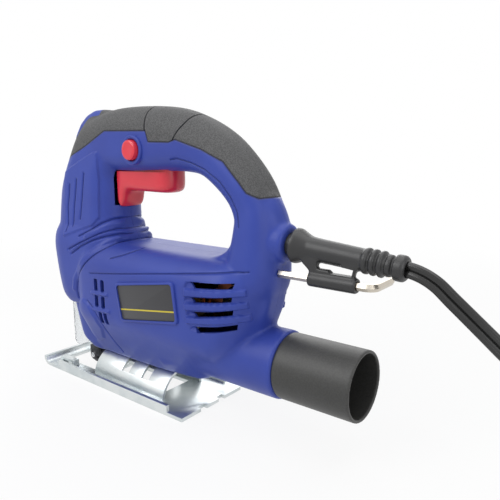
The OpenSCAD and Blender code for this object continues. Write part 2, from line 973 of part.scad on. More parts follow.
module chip_shield() {
  color("gainsboro", 0.5)
    translate([shield_x - shield_t / 2, 0, 0])
      rotate([90, 0, 90])
        linear_extrude(shield_t)
          hull() {
            translate([-shield_w / 2, chamber_top])
              square([shield_w, 4]);
            for (side = [-1, 1])
              translate([side * (shield_w / 2 - 7), shield_z0 + 7])
                circle(7);
          }
}

// Blade guide

module guide_roller() {
  color("black")
    translate([roller_x, 0, roller_z])
      rotate([90, 0, 0])
        rotate_extrude()
          polygon([
            [2 + run, -roller_w / 2], [roller_r - 0.6, -roller_w / 2],
            [roller_r, 0.6 - roller_w / 2], [roller_r, -1.2], [roller_r - 1.4, -0.8],
            [roller_r - 1.4, 0.8], [roller_r, 1.2], [roller_r, roller_w / 2 - 0.6],
            [roller_r - 0.6, roller_w / 2], [2 + run, roller_w / 2]
          ]);
}

module roller_pin() {
  color("silver")
    rod_y(roller_x, roller_z, -roller_w / 2 - 3, roller_w / 2 + 3, 2);
}

module roller_bracket() {
  cheek = roller_w / 2 + soft;
  top = roller_z + roller_r + 1;
  color("gray")
    difference() {
      union() {
        translate([bracket_x0, -cheek - 1.8, top])
          cube([bracket_x1 - bracket_x0, 2 * cheek + 3.6, chamber_top - top]);
        for (y = [-cheek - 1.8, cheek]) {
          translate([roller_x - 4, y, roller_z])
            cube([bracket_x1 - roller_x + 4, 1.8, top - roller_z + eps]);
          rod_y(roller_x, roller_z, y, y + 1.8, 4);
        }
      }
      rod_y(roller_x, roller_z, -20, 20, 2 + press);
    }
}

// Drive

// Outline of a spur gear: four points to each tooth, thinned for backlash
function gear_points(teeth, m, turn) =
  let (p = 360 / teeth, r = teeth * m / 2)
  [
    for (i = [0 : teeth - 1])
      for (q = [[-0.3, -1.15], [-0.09, 0.8], [0.09, 0.8], [0.3, -1.15]])
        let (a = (i + q[0]) * p + turn, rr = r + q[1] * m)
        [rr * cos(a), rr * sin(a)]
  ];

module drive_gear() {
  color("gray")
    difference() {
      translate([0, 0, gear_z])
        along_x(gear_x0, gear_t)
          polygon(gear_points(gear_teeth, tooth_module, -90));
      rod_x(gear_x0 - 1, gear_x1 + 1, 3.5 + run, gear_z);
      rod_x(gear_x0 - 1, gear_x1 + 1, 2.5 + press, gear_z, crank_throw);
      for (a = [60, 120, 180, 240, 300])
        rod_x(gear_x0 - 1, gear_x1 + 1, 3.4, gear_z + 12.5 * sin(a), 12.5 * cos(a));
      // face relief
      tube_x(gear_x1 - 1.5, gear_x1 + 1, 18, 6.5, gear_z);
    }
}

module gear_pin() {
  color("silver") {
    rod_x(gear_x0 - 0.3, plate_x1, 3.5, gear_z);
    rod_x(gear_x0 - 2, gear_x0 - 0.3, 4.3, gear_z);
  }
}

module crank_pin() {
  color("silver") {
    rod_x(crank_x0, gear_x1, 2.5, gear_z, crank_throw);
    translate([0, crank_throw, 0])
      tube_x(crank_x0 + 0.4, gear_x0 - 0.2, 4.2, 2.5 + press, gear_z);
  }
}

module gearbox_plate() {
  color("lightgray")
    difference() {
      union() {
        rod_x(plate_x0 + 2, plate_x0 + 6, 24, 86);
        rod_x(plate_x0, plate_x1, front_bearing_r + 3, motor_z);
        rod_x(plate_x0, plate_x1, 7, gear_z);
      }
      rod_x(plate_x1 - front_bearing_t - fit, plate_x1 + 1, front_bearing_r + press, motor_z);
      rod_x(plate_x0 - 1, plate_x1, shaft_r + 1.5, motor_z);
      rod_x(plate_x0 - 1, plate_x1 + 1, 3.5 + press, gear_z);
    }
}

module plunger() {
  color("silver")
    difference() {
      translate([plunger_x, 0, clamp_z0 + 4])
        cylinder(h = plunger_l - 4, r = plunger_r);
      blade_slot();
      blade_screw_hole(run);
    }
}

module blade_slot() {
  translate([plunger_x - 4, -0.8, clamp_z0 - 3])
    cube([8, 1.6, 18]);
}

module blade_screw_hole(extra) {
  rod_y(plunger_x, clamp_z0 + 8, -clamp_r - 1, -0.8, 2 + extra);
}

module plunger_yoke() {
  slot_hw = crank_throw + 4.2 + 1.2;
  color("gray")
    difference() {
      union() {
        translate([plunger_x, 0, gear_z - 7])
          cylinder(h = 14, r = plunger_r + 3);
        translate([yoke_x1 - 6, -slot_hw - 2.8, gear_z - 8])
          cube([6, 2 * slot_hw + 5.6, 16]);
      }
      translate([yoke_x1 - 7, -slot_hw, gear_z - 4.8])
        cube([8, 2 * slot_hw, 9.6]);
      translate([plunger_x, 0, gear_z - 10])
        cylinder(h = 20, r = plunger_r + press);
    }
}

module guide_bush(z, h) {
  translate([plunger_x, 0, z])
    difference() {
      cylinder(h = h, r = plunger_r + guide_wall);
      translate([0, 0, -1])
        cylinder(h = h + 2, r = plunger_r + run);
    }
}

module upper_guide() {
  color("goldenrod")
    guide_bush(125, 10);
}

module lower_guide() {
  color("goldenrod")
    guide_bush(chamber_top, 11);
}

module blade_clamp() {
  color("gray")
    difference() {
      translate([plunger_x, 0, clamp_z0 - 2])
        cylinder(h = 18, r = clamp_r);
      translate([plunger_x, 0, clamp_z0 + 4])
        cylinder(h = 20, r = plunger_r + press);
      blade_slot();
      blade_screw_hole(run);
      rod_x(plunger_x - clamp_r - 1, plunger_x - plunger_r, 2 + run, clamp_z0 + 8);
    }
}

module blade_screws() {
  color("black") {
    rod_y(plunger_x, clamp_z0 + 8, -clamp_r, -0.9, 2);
    rod_x(plunger_x - clamp_r, plunger_x - plunger_r - press, 2, clamp_z0 + 8);
  }
}

// Motor

module armature_shaft() {
  color("silver") {
    rod_x(gear_x1 + 0.6, shaft_x1, shaft_r, motor_z);
    translate([0, 0, motor_z])
      along_x(gear_x0 - 0.5, gear_t + 1.2)
        polygon(gear_points(pinion_teeth, tooth_module, 90 + 180 / pinion_teeth));
  }
}

module armature_core() {
  color("dimgray")
    difference() {
      tube_x(core_x0, core_x1, armature_r, shaft_r + press, motor_z);
      for (a = [0 : 30 : 330])
        translate([core_x0 - 1, 0, motor_z])
          rotate([a, 0, 0])
            translate([0, -0.8, armature_r - 7])
              cube([core_l + 2, 1.6, 9]);
    }
}

module end_turns(x, r1, r0, angle, start) {
  translate([x, 0, motor_z])
    rotate([start, 0, 0])
      rotate([0, 90, 0])
        rotate_extrude(angle = angle)
          translate([r0, 0])
            square([r1 - r0, winding_l - 1]);
}

module armature_windings() {
  color("chocolate") {
    end_turns(core_x0 - winding_l + 1, armature_r - 2, shaft_r + 1, 360, 0);
    end_turns(core_x1, armature_r - 2, shaft_r + 1, 360, 0);
  }
}

module commutator() {
  color("peru")
    difference() {
      tube_x(comm_x0, comm_x1, commutator_r, shaft_r + press, motor_z);
      for (a = [0 : 15 : 345])
        translate([comm_x0 + 2, 0, motor_z])
          rotate([a, 0, 0])
            translate([0, -0.3, commutator_r - 0.8])
              cube([commutator_l, 0.6, 2]);
    }
}

module cooling_fan() {
  color("white")
    difference() {
      union() {
        rod_x(fan_x0, fan_x0 + 1.6, fan_r, motor_z);
        rod_x(fan_x0, fan_x1, shaft_r + 4, motor_z);
        for (a = [0 : 36 : 324])
          translate([fan_x0 + 1, 0, motor_z])
            rotate([a, 0, 0])
              translate([0, -0.7, shaft_r + 3])
                cube([fan_t - 1, 1.4, fan_r - shaft_r - 4.5]);
      }
      rod_x(fan_x0 - 1, fan_x1 + 1, shaft_r + press, motor_z);
    }
}

module air_baffle() {
  color("black")
    tube_x(fan_x1 + 1, fan_x1 + 2.6, stator_r, fan_r - 7, motor_z);
}

module stator_core() {
  color("lightslategray")
    difference() {
      rod_x(core_x0, core_x1, stator_r, motor_z);
      rod_x(core_x0 - 1, core_x1 + 1, armature_r + 0.6, motor_z);
      // pockets for the field coils
      for (a = [0, 180])
        translate([core_x0 - 1, 0, motor_z])
          rotate([a, 0, 0])
            translate([0, -10, armature_r])
              cube([core_l + 2, 20, 3]);
    }
}

module field_coils() {
  color("darkorange")
    for (x = [core_x0 - winding_l + 1, core_x1])
      for (start = [25, 205])
        end_turns(x, stator_r - 2, armature_r + 1.5, 130, start);
}

module ball_bearing(x, w, r) {
  translate([x, 0, motor_z])
    rotate([0, 90, 0])
      rotate_extrude()
        polygon([
          [shaft_r + run, 0], [shaft_r + 2, 0], [shaft_r + 2, 0.5], [r - 2, 0.5], [r - 2, 0],
          [r, 0], [r, w], [r - 2, w], [r - 2, w - 0.5], [shaft_r + 2, w - 0.5],
          [shaft_r + 2, w], [shaft_r + run, w]
        ]);
}

module front_bearing() {
  color("silver")
    ball_bearing(plate_x1 - front_bearing_t, front_bearing_t, front_bearing_r);
}

module rear_bearing() {
  color("silver")
    ball_bearing(rear_x0, rear_bearing_t, rear_bearing_r);
}

module bearing_sleeve() {
  color("black")
    tube_x(rear_x0 - 0.8, rear_x1 + 0.4, sleeve_r, rear_bearing_r + press, motor_z);
}

module brush_holders() {
  y0 = commutator_r + 1.5;
  color("gold")
    for (side = [0, 180])
      translate([brush_x, 0, motor_z])
        rotate([0, 0, side])
          difference() {
            translate([-4.5, y0, -6.5])
              cube([9, holder_y1 - y0, 13]);
            translate([-3 - run, y0 - 1, -5 - run])
              cube([6 + 2 * run, holder_y1 - holder_end - y0 + 1, 10 + 2 * run]);
          }
}

module carbon_brush() {
  difference() {
    translate([brush_x - 3, 10, motor_z - 5])
      cube([6, brush_y1 - 10, 10]);
    rod_x(brush_x - 5, brush_x + 5, commutator_r + run, motor_z);
  }
}

module carbon_brush_left() {
  color("black")
    mirror([0, 1, 0])
      carbon_brush();
}

module carbon_brush_right() {
  color("black")
    carbon_brush();
}

module brush_spring() {
  translate([brush_x, brush_y1 + 0.1, motor_z])
    rotate([-90, 0, 0])
      coil_spring(holder_y1 - holder_end - brush_y1 - 0.2, 2.4, 0.35);
}

module brush_spring_left() {
  color("silver")
    mirror([0, 1, 0])
      brush_spring();
}

module brush_spring_right() {
  color("silver")
    brush_spring();
}

module capacitor() {
  color("gold")
    translate([rear_x1 + 1.6, -9, 80])
      cube([14, 18, 16]);
}

module lead_wires() {
  route = [
    [flex_x0 - 0.9, axis_z(flex_x0) + 0.3], [47.2, rise(0.07)], [46.3, rise(0.14)], [47.5, rise(0.22)],
    [52, rise(0.285)], [50.5, rise(0.385)], [43.5, rise(0.485)], [34, rise(0.585)], [22, rise(0.675)],
    [10, handle_top - 21.5], [-2, handle_top - 18.5], [switch_x0 + switch_l + fit, handle_top - 17]
  ];
  color("saddlebrown")
    for (y = [-1.2, 1.2])
      sweep([for (p = route) [p[0], y, p[1], 0]], 1, 1, 8);
}

// Fastenings and fittings

module housing_screws() {
  color("silver")
    for (p = screw_spots) {
      rod_y(p[0], p[1], -screw_seat_y + 1, screw_seat_y, 1.9);
      difference() {
        rod_y(p[0], p[1], screw_seat_y, screw_seat_y + 2.6, 3.8);
        for (turn = [0, 90])
          translate([p[0], screw_seat_y + 2, p[1]])
            rotate([0, turn, 0])
              cube([4.4, 2.4, 1], center = true);
      }
    }
}

module cable_clamp() {
  color("black")
    difference() {
      translate([clamp_x - 4, 0, clamp_zs[0] - 3.5])
        cube([8, 6.5, clamp_zs[1] - clamp_zs[0] + 7]);
      translate([clamp_x - 5, -1, 115])
        cube([10, 1 + core_r + soft, 10.8]);
      for (z = clamp_zs)
        rod_y(clamp_x, z, -1, 8, 1.5 + run);
    }
}

module clamp_screws() {
  color("silver")
    for (z = clamp_zs) {
      rod_y(clamp_x, z, -8, 6.5, 1.3);
      rod_y(clamp_x, z, 6.5, 8.3, 2.8);
    }
}

module dust_adapter() {
  color("dimgray")
    translate([duct_x1, 0, duct_z])
      rotate([0, 90, 0])
        rotate_extrude()
          polygon([
            [spigot_r - 2, -spigot_l], [spigot_r - 0.4, -spigot_l], [spigot_r, 1 - spigot_l],
            [spigot_r, slab + run], [adapter_r, slab + run], [adapter_r, adapter_l - 0.6],
            [adapter_r - 0.6, adapter_l], [adapter_bore_r + 0.4, adapter_l],
            [adapter_bore_r, adapter_l - 0.4], [adapter_bore_r, 6], [spigot_r - 2, 4]
          ]);
}

module relief_profile() {
  polygon([
    [2 * core_r + 0.3, -relief_in], [neck_r + 2.4, -relief_in],
    [neck_r + 2.4, flange_t - relief_in], [neck_r, flange_t - relief_in],
    [neck_r, 4.4], [boss_r - 1.2, 4.4], [boss_r - 1.4, 6.5], [boss_r - 3.2, 10.5],
    [neck_r + 0.3, 14], [neck_r, 18], [neck_r - 0.5, relief_l - 23],
    for (i = [0 : 3]) each [
      [neck_r + 0.4, relief_l - 22.6 + 4.2 * i], [neck_r + 0.4, relief_l - 20.4 + 4.2 * i],
      [neck_r - 1.3, relief_l - 20 + 4.2 * i], [neck_r - 1.3, relief_l - 18.8 + 4.2 * i]
    ],
    [relief_flange_r, relief_l - 6], [relief_flange_r, relief_l - 1.5],
    [relief_flange_r - 1.5, relief_l], [2 * core_r + 0.3, relief_l]
  ]);
}

// Side view of the clip that carries the hex key under the relief
module holder_web() {
  polygon([
    [relief_x + 9, relief_z - 4], [relief_x + 12, relief_z - 9], [relief_x + 16, holder_z + 5],
    [relief_x + 20, holder_z + 3], [relief_x + 20, holder_z], [relief_x + 42, holder_z],
    [relief_x + 44, relief_z - 10], [relief_x + 46, relief_z - 6], [relief_x + 36, relief_z - 6],
    [relief_x + 36, holder_z + 6.6], [relief_x + 21, holder_z + 6.6], [relief_x + 21, relief_z - 6]
  ]);
}

module cord_relief() {
  key_x0 = relief_x + 16;
  color("black")
    difference() {
      union() {
        translate([relief_x, 0, relief_z])
          rotate([0, 90 + relief_tilt, 0])
            rotate_extrude()
              relief_profile();
        difference() {
          side_view(holder_y - 2, holder_y + 2)
            holder_web();
          translate([relief_x, 0, relief_z])
            rotate([0, 90 + relief_tilt, 0])
              cylinder(h = 90, r = neck_r - 1.5);
        }
        rod_x(key_x0, key_x0 + holder_l, key_corner_r + 1.9, holder_z, holder_y);
      }
      rod_x(key_x0 - 1, key_x0 + holder_l + 1, key_corner_r + run, holder_z, holder_y);
      // only the inner face of the boss stays below the flange
      translate([relief_x, 0, relief_z])
        rotate([0, boss_face_tilt, 0])
          translate([-4 - soft, -30, -30])
            difference() {
              cube([4 + soft, 60, 60]);
              translate([-20, 30, 30])
                rotate([0, 90, 0])
                  cylinder(h = 60, r = neck_r + eps);
            }
    }
}

module hex_key() {
  foot = handle_stations[len(handle_stations) - 1];
  x0 = foot[0] + foot[2] + soft;
  x1 = relief_x + 16 + holder_l + 4;
  color("silver") {
    translate([x0, holder_y, holder_z])
      rotate([0, 90, 0])
        rotate(30)
          cylinder(h = x1 - x0 + eps, r = key_corner_r, $fn = 6);
    translate([x1, holder_y + 5, holder_z])
      rotate([0, 0, -90])
        rotate_extrude(angle = 90, $fn = 48)
          translate([5, 0])
            circle(r = key_corner_r, $fn = 6);
    translate([x1 + 5, holder_y + 5, holder_z])
      rotate([-90, 0, 0])
        cylinder(h = 17, r = key_corner_r, $fn = 6);
  }
}

// Cord

function unit(v) = v / norm(v);

// Direction of a route at point i
function heading(route, i) =
  let (a = route[max(0, i - 1)], b = route[min(len(route) - 1, i + 1)])
  unit([b[0] - a[0], b[1] - a[1], b[2] - a[2]]);

// Rings of points around a route: x, y, z, turn of the flat
function ring(route, i, rw, rt, sides) =
  let (
    d = heading(route, i),
    s = unit(cross([0, 0, 1], d)),
    u = cross(d, s),
    c = route[i],
    w = cos(c[3]) * s + sin(c[3]) * u,
    t = cross(d, w)
  )
  [
    for (k = [0 : sides - 1])
      [c[0], c[1], c[2]] + rw * cos(360 * k / sides) * w + rt * sin(360 * k / sides) * t
  ];

module sweep(route, rw, rt, sides) {
  n = len(route);
  points = [for (i = [0 : n - 1]) each ring(route, i, rw, rt, sides)];
  faces = [
    [for (k = [sides - 1 : -1 : 0]) k],
    for (i = [0 : n - 2])
      for (k = [0 : sides - 1])
        let (a = i * sides + k, b = i * sides + (k + 1) % sides)
        each [[a, b, b + sides], [a, b + sides, a + sides]],
    [for (k = [0 : sides - 1]) (n - 1) * sides + k]
  ];
  polyhedron(points = points, faces = [for (f = faces) [for (j = [len(f) - 1 : -1 : 0]) f[j]]]);
}

// A smooth line through every point of a route
function curve_point(a, b, c, d, t) =
  ((2 * b) + (c - a) * t + (2 * a - 5 * b + 4 * c - d) * t * t
    + (3 * b - a - 3 * c + d) * t * t * t) / 2;

function smooth(route, steps) = [
  for (i = [0 : len(route) - 2])
    for (j = [0 : steps - 1])
      curve_point(
        route[max(0, i - 1)], route[i], route[i + 1], route[min(len(route) - 1, i + 2)],
        j / steps
      ),
  route[len(route) - 1]
];

module cord_flex() {
  color("black")
    sweep(smooth(cord_route, 3), 2 * core_r, core_r, 10);
}

module cord_tail() {
  color("black")
    sweep(smooth(tail_route, 3), 2 * core_r, core_r, 10);
}

// Section of the hank's bundle of turns
module bundle() {
  hull()
    for (r = [hank_r0 + core_r, hank_r1 - core_r])
      for (z = [hank_z + core_r, hank_z + hank_h - core_r])
        translate([r, z])
          circle(core_r);
}

module cord_coil() {
  color("black") {
    for (side = [-1, 1]) {
      translate([hank_x + side * hank_run, 0, 0])
        rotate([0, 0, -side * 90])
          rotate_extrude(angle = 180)
            bundle();
      along_x(hank_x - hank_run, 2 * hank_run)
        scale([side, 1])
          bundle();
    }
  }
}

module coil_tie() {
  color("black")
    difference() {
      translate([hank_x - tie_w / 2, -hank_r1 - 1.4, 0])
        cube([tie_w, 2 * hank_r1 + 2.8, hank_h + 2]);
      translate([hank_x - tie_w, -hank_r1 - soft, tie_t])
        cube([2 * tie_w, 2 * (hank_r1 + soft), hank_h + 0.4]);
    }
}

module plug_body() {
  color("black")
    translate([plug_x, plug_y, 0])
      rotate([0, 0, 90])
        difference() {
          hull() {
            translate([0, plug_l, plug_entry_z])
              rotate([-90, 0, 0])
                translate([0, 0, -1])
                  cylinder(h = 1, r = 5, $fn = 32);
            translate([-9, -12, 0.2])
              cube([18, 20, 13]);
            translate([-15, -16, 0.2])
              cube([30, 8, 13]);
          }
          for (side = [-1, 1])
            rod_y(side * 9.5, 6.7, -17, -11, 2 + press);
        }
}

module plug_pins() {
  color("silver")
    for (side = [-1, 1])
      rod_x(plug_x + 11.1, plug_x + 35, 2, 6.7, plug_y + side * 9.5);
}

housing_left();
housing_right();
grip_left();
grip_right();
name_plate();
rating_plate();
trigger();
switch_plunger();
trigger_spring();
switch_body();
lock_button();
lock_spring();
sole_plate();
bevel_saddle();
bevel_clamp();
bevel_screws();
chip_shield();
guide_roller();
roller_pin();
roller_bracket();
dust_adapter();
cord_relief();
hex_key();
cable_clamp();
clamp_screws();
housing_screws();
stator_core();
field_coils();
armature_shaft();
armature_core();
armature_windings();
commutator();
cooling_fan();
air_baffle();
front_bearing();
rear_bearing();
bearing_sleeve();
brush_holders();
carbon_brush_left();
carbon_brush_right();
brush_spring_left();
brush_spring_right();
gearbox_plate();
drive_gear();
gear_pin();
crank_pin();
plunger();
plunger_yoke();
upper_guide();
lower_guide();
blade_clamp();
blade_screws();
capacitor();
lead_wires();
cord_flex();
cord_coil();
coil_tie();
cord_tail();
plug_body();
plug_pins();
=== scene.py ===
import json
import math

import bmesh
import bpy
from mathutils import Matrix, Vector

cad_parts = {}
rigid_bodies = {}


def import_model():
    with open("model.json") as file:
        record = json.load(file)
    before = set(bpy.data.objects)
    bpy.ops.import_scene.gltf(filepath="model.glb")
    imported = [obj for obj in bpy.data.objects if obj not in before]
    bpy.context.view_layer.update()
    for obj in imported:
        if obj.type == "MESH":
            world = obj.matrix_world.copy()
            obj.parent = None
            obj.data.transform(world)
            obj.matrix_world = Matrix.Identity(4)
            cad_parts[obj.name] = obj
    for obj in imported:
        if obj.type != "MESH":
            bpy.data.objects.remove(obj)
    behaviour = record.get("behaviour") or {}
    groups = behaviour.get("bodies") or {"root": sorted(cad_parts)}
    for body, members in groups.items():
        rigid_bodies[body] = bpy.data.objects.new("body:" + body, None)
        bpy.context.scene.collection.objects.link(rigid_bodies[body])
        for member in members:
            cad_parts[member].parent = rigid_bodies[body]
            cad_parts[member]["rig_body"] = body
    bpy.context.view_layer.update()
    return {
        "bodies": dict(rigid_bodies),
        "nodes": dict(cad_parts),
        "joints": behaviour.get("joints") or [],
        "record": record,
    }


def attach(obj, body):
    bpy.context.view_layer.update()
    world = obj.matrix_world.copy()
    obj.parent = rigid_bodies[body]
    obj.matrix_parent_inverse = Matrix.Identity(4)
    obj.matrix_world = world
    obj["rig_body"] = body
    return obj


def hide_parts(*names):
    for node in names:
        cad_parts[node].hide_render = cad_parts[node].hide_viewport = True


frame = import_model()
scene = bpy.context.scene
mm = 0.001


cameraSet = {"place": (235.0, -245.5, 168.5), "turnLeft": 37.74, "lookDown": 10.41, "lens": 37.34}


def makeCamera():
    data = bpy.data.cameras.new("camera")
    data.sensor_width = 36
    data.lens = cameraSet["lens"]
    data.clip_start, data.clip_end = 0.01, 20
    camera = bpy.data.objects.new("camera", data)
    scene.collection.objects.link(camera)
    turn, down = math.radians(cameraSet["turnLeft"]), math.radians(cameraSet["lookDown"])
    look = Vector((-math.sin(turn) * math.cos(down), math.cos(turn) * math.cos(down), -math.sin(down)))
    camera.location = Vector(cameraSet["place"]) * mm
    camera.rotation_mode = "QUATERNION"
    camera.rotation_quaternion = look.to_track_quat("-Z", "Y")
    scene.camera = camera


makeCamera()
print("camera placed")


class Value:
    # wraps a shader socket, so that expressions add their own Math nodes
    def __init__(self, nodes, socket):
        self.nodes = nodes
        self.socket = socket

    def maths(self, operation, *others):
        return self.nodes.add("ShaderNodeMath", {"operation": operation}, dict(enumerate([self, *others])))

    def __add__(self, other):
        return self.maths("ADD", other)

    def __sub__(self, other):
        return self.maths("SUBTRACT", other)

    def __mul__(self, other):
        return self.maths("MULTIPLY", other)

    def band(self, low, high):
        # 0 below low, 1 above high, smooth between
        return self.nodes.add("ShaderNodeMapRange", {"interpolation_type": "SMOOTHSTEP"},
                              {"Value": self, "From Min": low, "From Max": high})


class Nodes:
    # a node tree that grows by add()
    def __init__(self, tree):
        self.tree = tree

    def add(self, kind, settings, inputs, output=0):
        node = self.tree.nodes.new(kind)
        for key, value in settings.items():
            setattr(node, key, value)
        for key, value in inputs.items():
            self.feed(node.inputs[key], value)
        return Value(self, node.outputs[output])

    def feed(self, socket, value):
        if isinstance(value, Value):
            self.tree.links.new(value.socket, socket)
        else:
            socket.default_value = value

    def seen(self):
        # 1 for what the camera sees itself, in a reflection or through something clear
        camera, glossy, clear = [self.add("ShaderNodeLightPath", {}, {}, "Is %s Ray" % kind)
                                 for kind in ("Camera", "Glossy", "Transmission")]
        return camera.maths("MAXIMUM", glossy.maths("MAXIMUM", clear))


class Paint(Nodes):
    # one material, laid over the object's own coordinates
    def __init__(self, name):
        self.material = bpy.data.materials.new(name)
        self.material.use_nodes = True
        super().__init__(self.material.node_tree)
        self.shader = self.tree.nodes["Principled BSDF"]
        self.place = self.add("ShaderNodeTexCoord", {}, {}, "Object")

    def noise(self, scale, detail=3, rough=0.5, place=None):
        return self.add("ShaderNodeTexNoise", {}, {"Vector": place or self.place, "Scale": scale,
                                                   "Detail": detail, "Roughness": rough})

    def axis(self, letter):
        return self.add("ShaderNodeSeparateXYZ", {}, {"Vector": self.place}, letter)

    def blend(self, share, one, two, kind="MIX"):
        settings = {"data_type": "RGBA", "blend_type": kind}
        return self.add("ShaderNodeMix", settings, {0: share, 6: rgb(one), 7: rgb(two)}, 2)

    def bump(self, height, strength, depth, under=None):
        inputs = {"Height": height, "Strength": strength, "Distance": depth}
        if under:
            inputs["Normal"] = under
        return self.add("ShaderNodeBump", {}, inputs)

    def finish(self, **sockets):
        for key, value in sockets.items():
            name = key.replace("_", " ").title().replace("Ior", "IOR")
            self.feed(self.shader.inputs[name], rgb(value))
        return self.material


def rgb(colour):
    # adds the alpha that a colour socket wants
    return (*colour, 1) if isinstance(colour, tuple) and len(colour) == 3 else colour


plastics = {
    # colour, second colour, roughness, scale of the grain and its relief
    "blueShell": ((0.036, 0.064, 0.345), (0.032, 0.055, 0.310), 0.44, 1500, 0.06),
    "redPlastic": ((0.74, 0.036, 0.058), (0.68, 0.030, 0.048), 0.22, 700, 0.03),
    "blackPlastic": ((0.040, 0.040, 0.038), (0.022, 0.022, 0.021), 0.46, 1100, 0.22),
    "softBlack": ((0.022, 0.022, 0.023), (0.015, 0.015, 0.016), 0.40, 900, 0.14),
    "whitePlastic": ((0.70, 0.69, 0.66), (0.60, 0.59, 0.56), 0.45, 900, 0.05),
    "gripRubber": ((0.110, 0.110, 0.112), (0.050, 0.050, 0.052), 0.66, 1300, 0.45),
    "cordRubber": ((0.014, 0.014, 0.014), (0.008, 0.008, 0.008), 0.24, 900, 0.06),
}


def mouldedNoise(p, grain):
    # faint clouds, fine grain and wear
    return p.noise(28, 3).band(0.35, 0.7), p.noise(grain, 2, 0.6), p.noise(160, 4, 0.65)


def plastic(name):
    main, second, rough, grain, relief = plastics[name]
    p = Paint(name)
    cloud, fine, wear = mouldedNoise(p, grain)
    speckle = fine.band(0.35, 0.65) * 0.6 if name == "blackPlastic" else fine * 0.1
    colour = p.blend(cloud * 0.4 + speckle, main, second)
    return p.finish(base_color=colour, roughness=wear * 0.10 + (rough - 0.05),
                    normal=p.bump(fine, relief, 0.0002), specular_ior_level=0.5)


def edgedPlastic(name):
    # the shell and the grips: seams and creases come from the piece's own "seam" attribute, in millimetres
    main, second, rough, grain, relief = plastics[name]
    p = Paint(name)
    cloud, fine, wear = mouldedNoise(p, grain)
    seam = p.add("ShaderNodeAttribute", {"attribute_name": "seam"}, {}, "Fac").band(0.0, 0.9)
    speckle = fine.band(0.38, 0.62) * 0.75 if name == "gripRubber" else cloud
    plain = p.blend(speckle, main, second)
    # painted shade: the colour is darkened along the creases and where the grips meet the shell
    paintedCreaseShade = p.blend(seam, (0.25, 0.25, 0.3), (1, 1, 1))
    shape = p.bump(seam, 0.8, 0.0006)
    return p.finish(base_color=p.blend(1.0, plain, paintedCreaseShade, "MULTIPLY"), roughness=wear * 0.10 + (rough - 0.05),
                    normal=p.bump(fine, relief, 0.0002, shape), specular_ior_level=0.32)


metals = {
    # colour, second colour, roughness, share of the spots, scale of the brushing in X, Y and Z
    "zincSteel": ((0.70, 0.73, 0.73), (0.48, 0.54, 0.56), 0.37, 0.6, (40, 300, 300)),
    "brightSteel": ((0.72, 0.72, 0.74), (0.55, 0.55, 0.57), 0.16, 0.2, (60, 900, 900)),
    "nickelSteel": ((0.62, 0.57, 0.49), (0.44, 0.40, 0.34), 0.32, 0.3, (60, 900, 900)),
    "darkSteel": ((0.055, 0.055, 0.060), (0.030, 0.030, 0.034), 0.34, 0.3, (300, 300, 300)),
    "springSteel": ((0.50, 0.50, 0.52), (0.36, 0.36, 0.38), 0.25, 0.2, (500, 500, 500)),
    "laminations": ((0.30, 0.31, 0.33), (0.18, 0.19, 0.21), 0.42, 0.3, (2400, 60, 60)),
    "copper": ((0.20, 0.06, 0.03), (0.12, 0.035, 0.02), 0.30, 0.3, (900, 900, 900)),
    "brass": ((0.70, 0.50, 0.20), (0.55, 0.38, 0.14), 0.28, 0.2, (200, 700, 700)),
    "carbon": ((0.035, 0.035, 0.036), (0.02, 0.02, 0.021), 0.55, 0.2, (700, 700, 700)),
    "castAluminium": ((0.58, 0.59, 0.60), (0.46, 0.47, 0.48), 0.45, 0.5, (500, 500, 500)),
    "sinteredBronze": ((0.48, 0.34, 0.16), (0.36, 0.24, 0.11), 0.50, 0.5, (800, 800, 800)),
}


def metal(name):
    main, second, rough, spots, along = metals[name]
    p = Paint(name)
    brushed = p.noise(1, 4, 0.6, p.add("ShaderNodeMapping", {}, {"Vector": p.place, "Scale": along}))
    clouds = p.noise(45, 3, 0.5).band(0.35, 0.68)
    colour = p.blend(clouds * spots, main, second)
    return p.finish(base_color=colour, metallic=0.15 if name == "carbon" else 1.0,
                    roughness=brushed * 0.16 + clouds * 0.08 + (rough - 0.10),
                    normal=p.bump(brushed, 0.12, 0.0001))


plateLook = {
    "field": (0.040, 0.040, 0.044), "foot": (0.052, 0.052, 0.055), "line": (0.62, 0.50, 0.03),
    "level": 0.0720, "rise": 0.1453,  # height of the line at the middle, in metres, and its slope
}


def platePaint():
    # a dark plate with one thin coloured line over a slightly paler foot
    look = plateLook
    p = Paint("label")
    height = p.axis("Z") - p.axis("X") * look["rise"] - look["level"]
    field = p.blend(height.maths("GREATER_THAN", 0), look["foot"], look["field"])
    line = height.maths("ABSOLUTE").band(0.00035, 0.0006)
    fine = p.noise(700, 2)
    return p.finish(base_color=p.blend(line, look["line"], field), roughness=fine * 0.14 + 0.26,
                    normal=p.bump(fine, 0.06, 0.0001), specular_ior_level=0.4)


def clearPlastic():
    p = Paint("clearPlastic")
    haze = p.noise(90, 4, 0.6)
    colour = p.blend(haze, (0.93, 0.95, 0.96), (0.86, 0.89, 0.91))
    return p.finish(base_color=colour, roughness=haze * 0.10 + 0.04, transmission_weight=0.92, ior=1.45,
                    normal=p.bump(haze, 0.05, 0.0002))


edged = ("blueShell", "gripRubber")
finishes = {name: edgedPlastic(name) if name in edged else plastic(name) for name in plastics}
finishes.update({name: metal(name) for name in metals})
finishes["clearPlastic"] = clearPlastic()
finishes["label"] = platePaint()
nodeSlot = {part["node"]: part["material_slot"] for part in frame["record"]["subparts"]}
# a finish is named after the slot it fills
slotFinish = {}
for slot in nodeSlot.values():
    first, *others = slot.split("_")
    slotFinish[slot] = first + "".join(word.title() for word in others)
print("materials made")


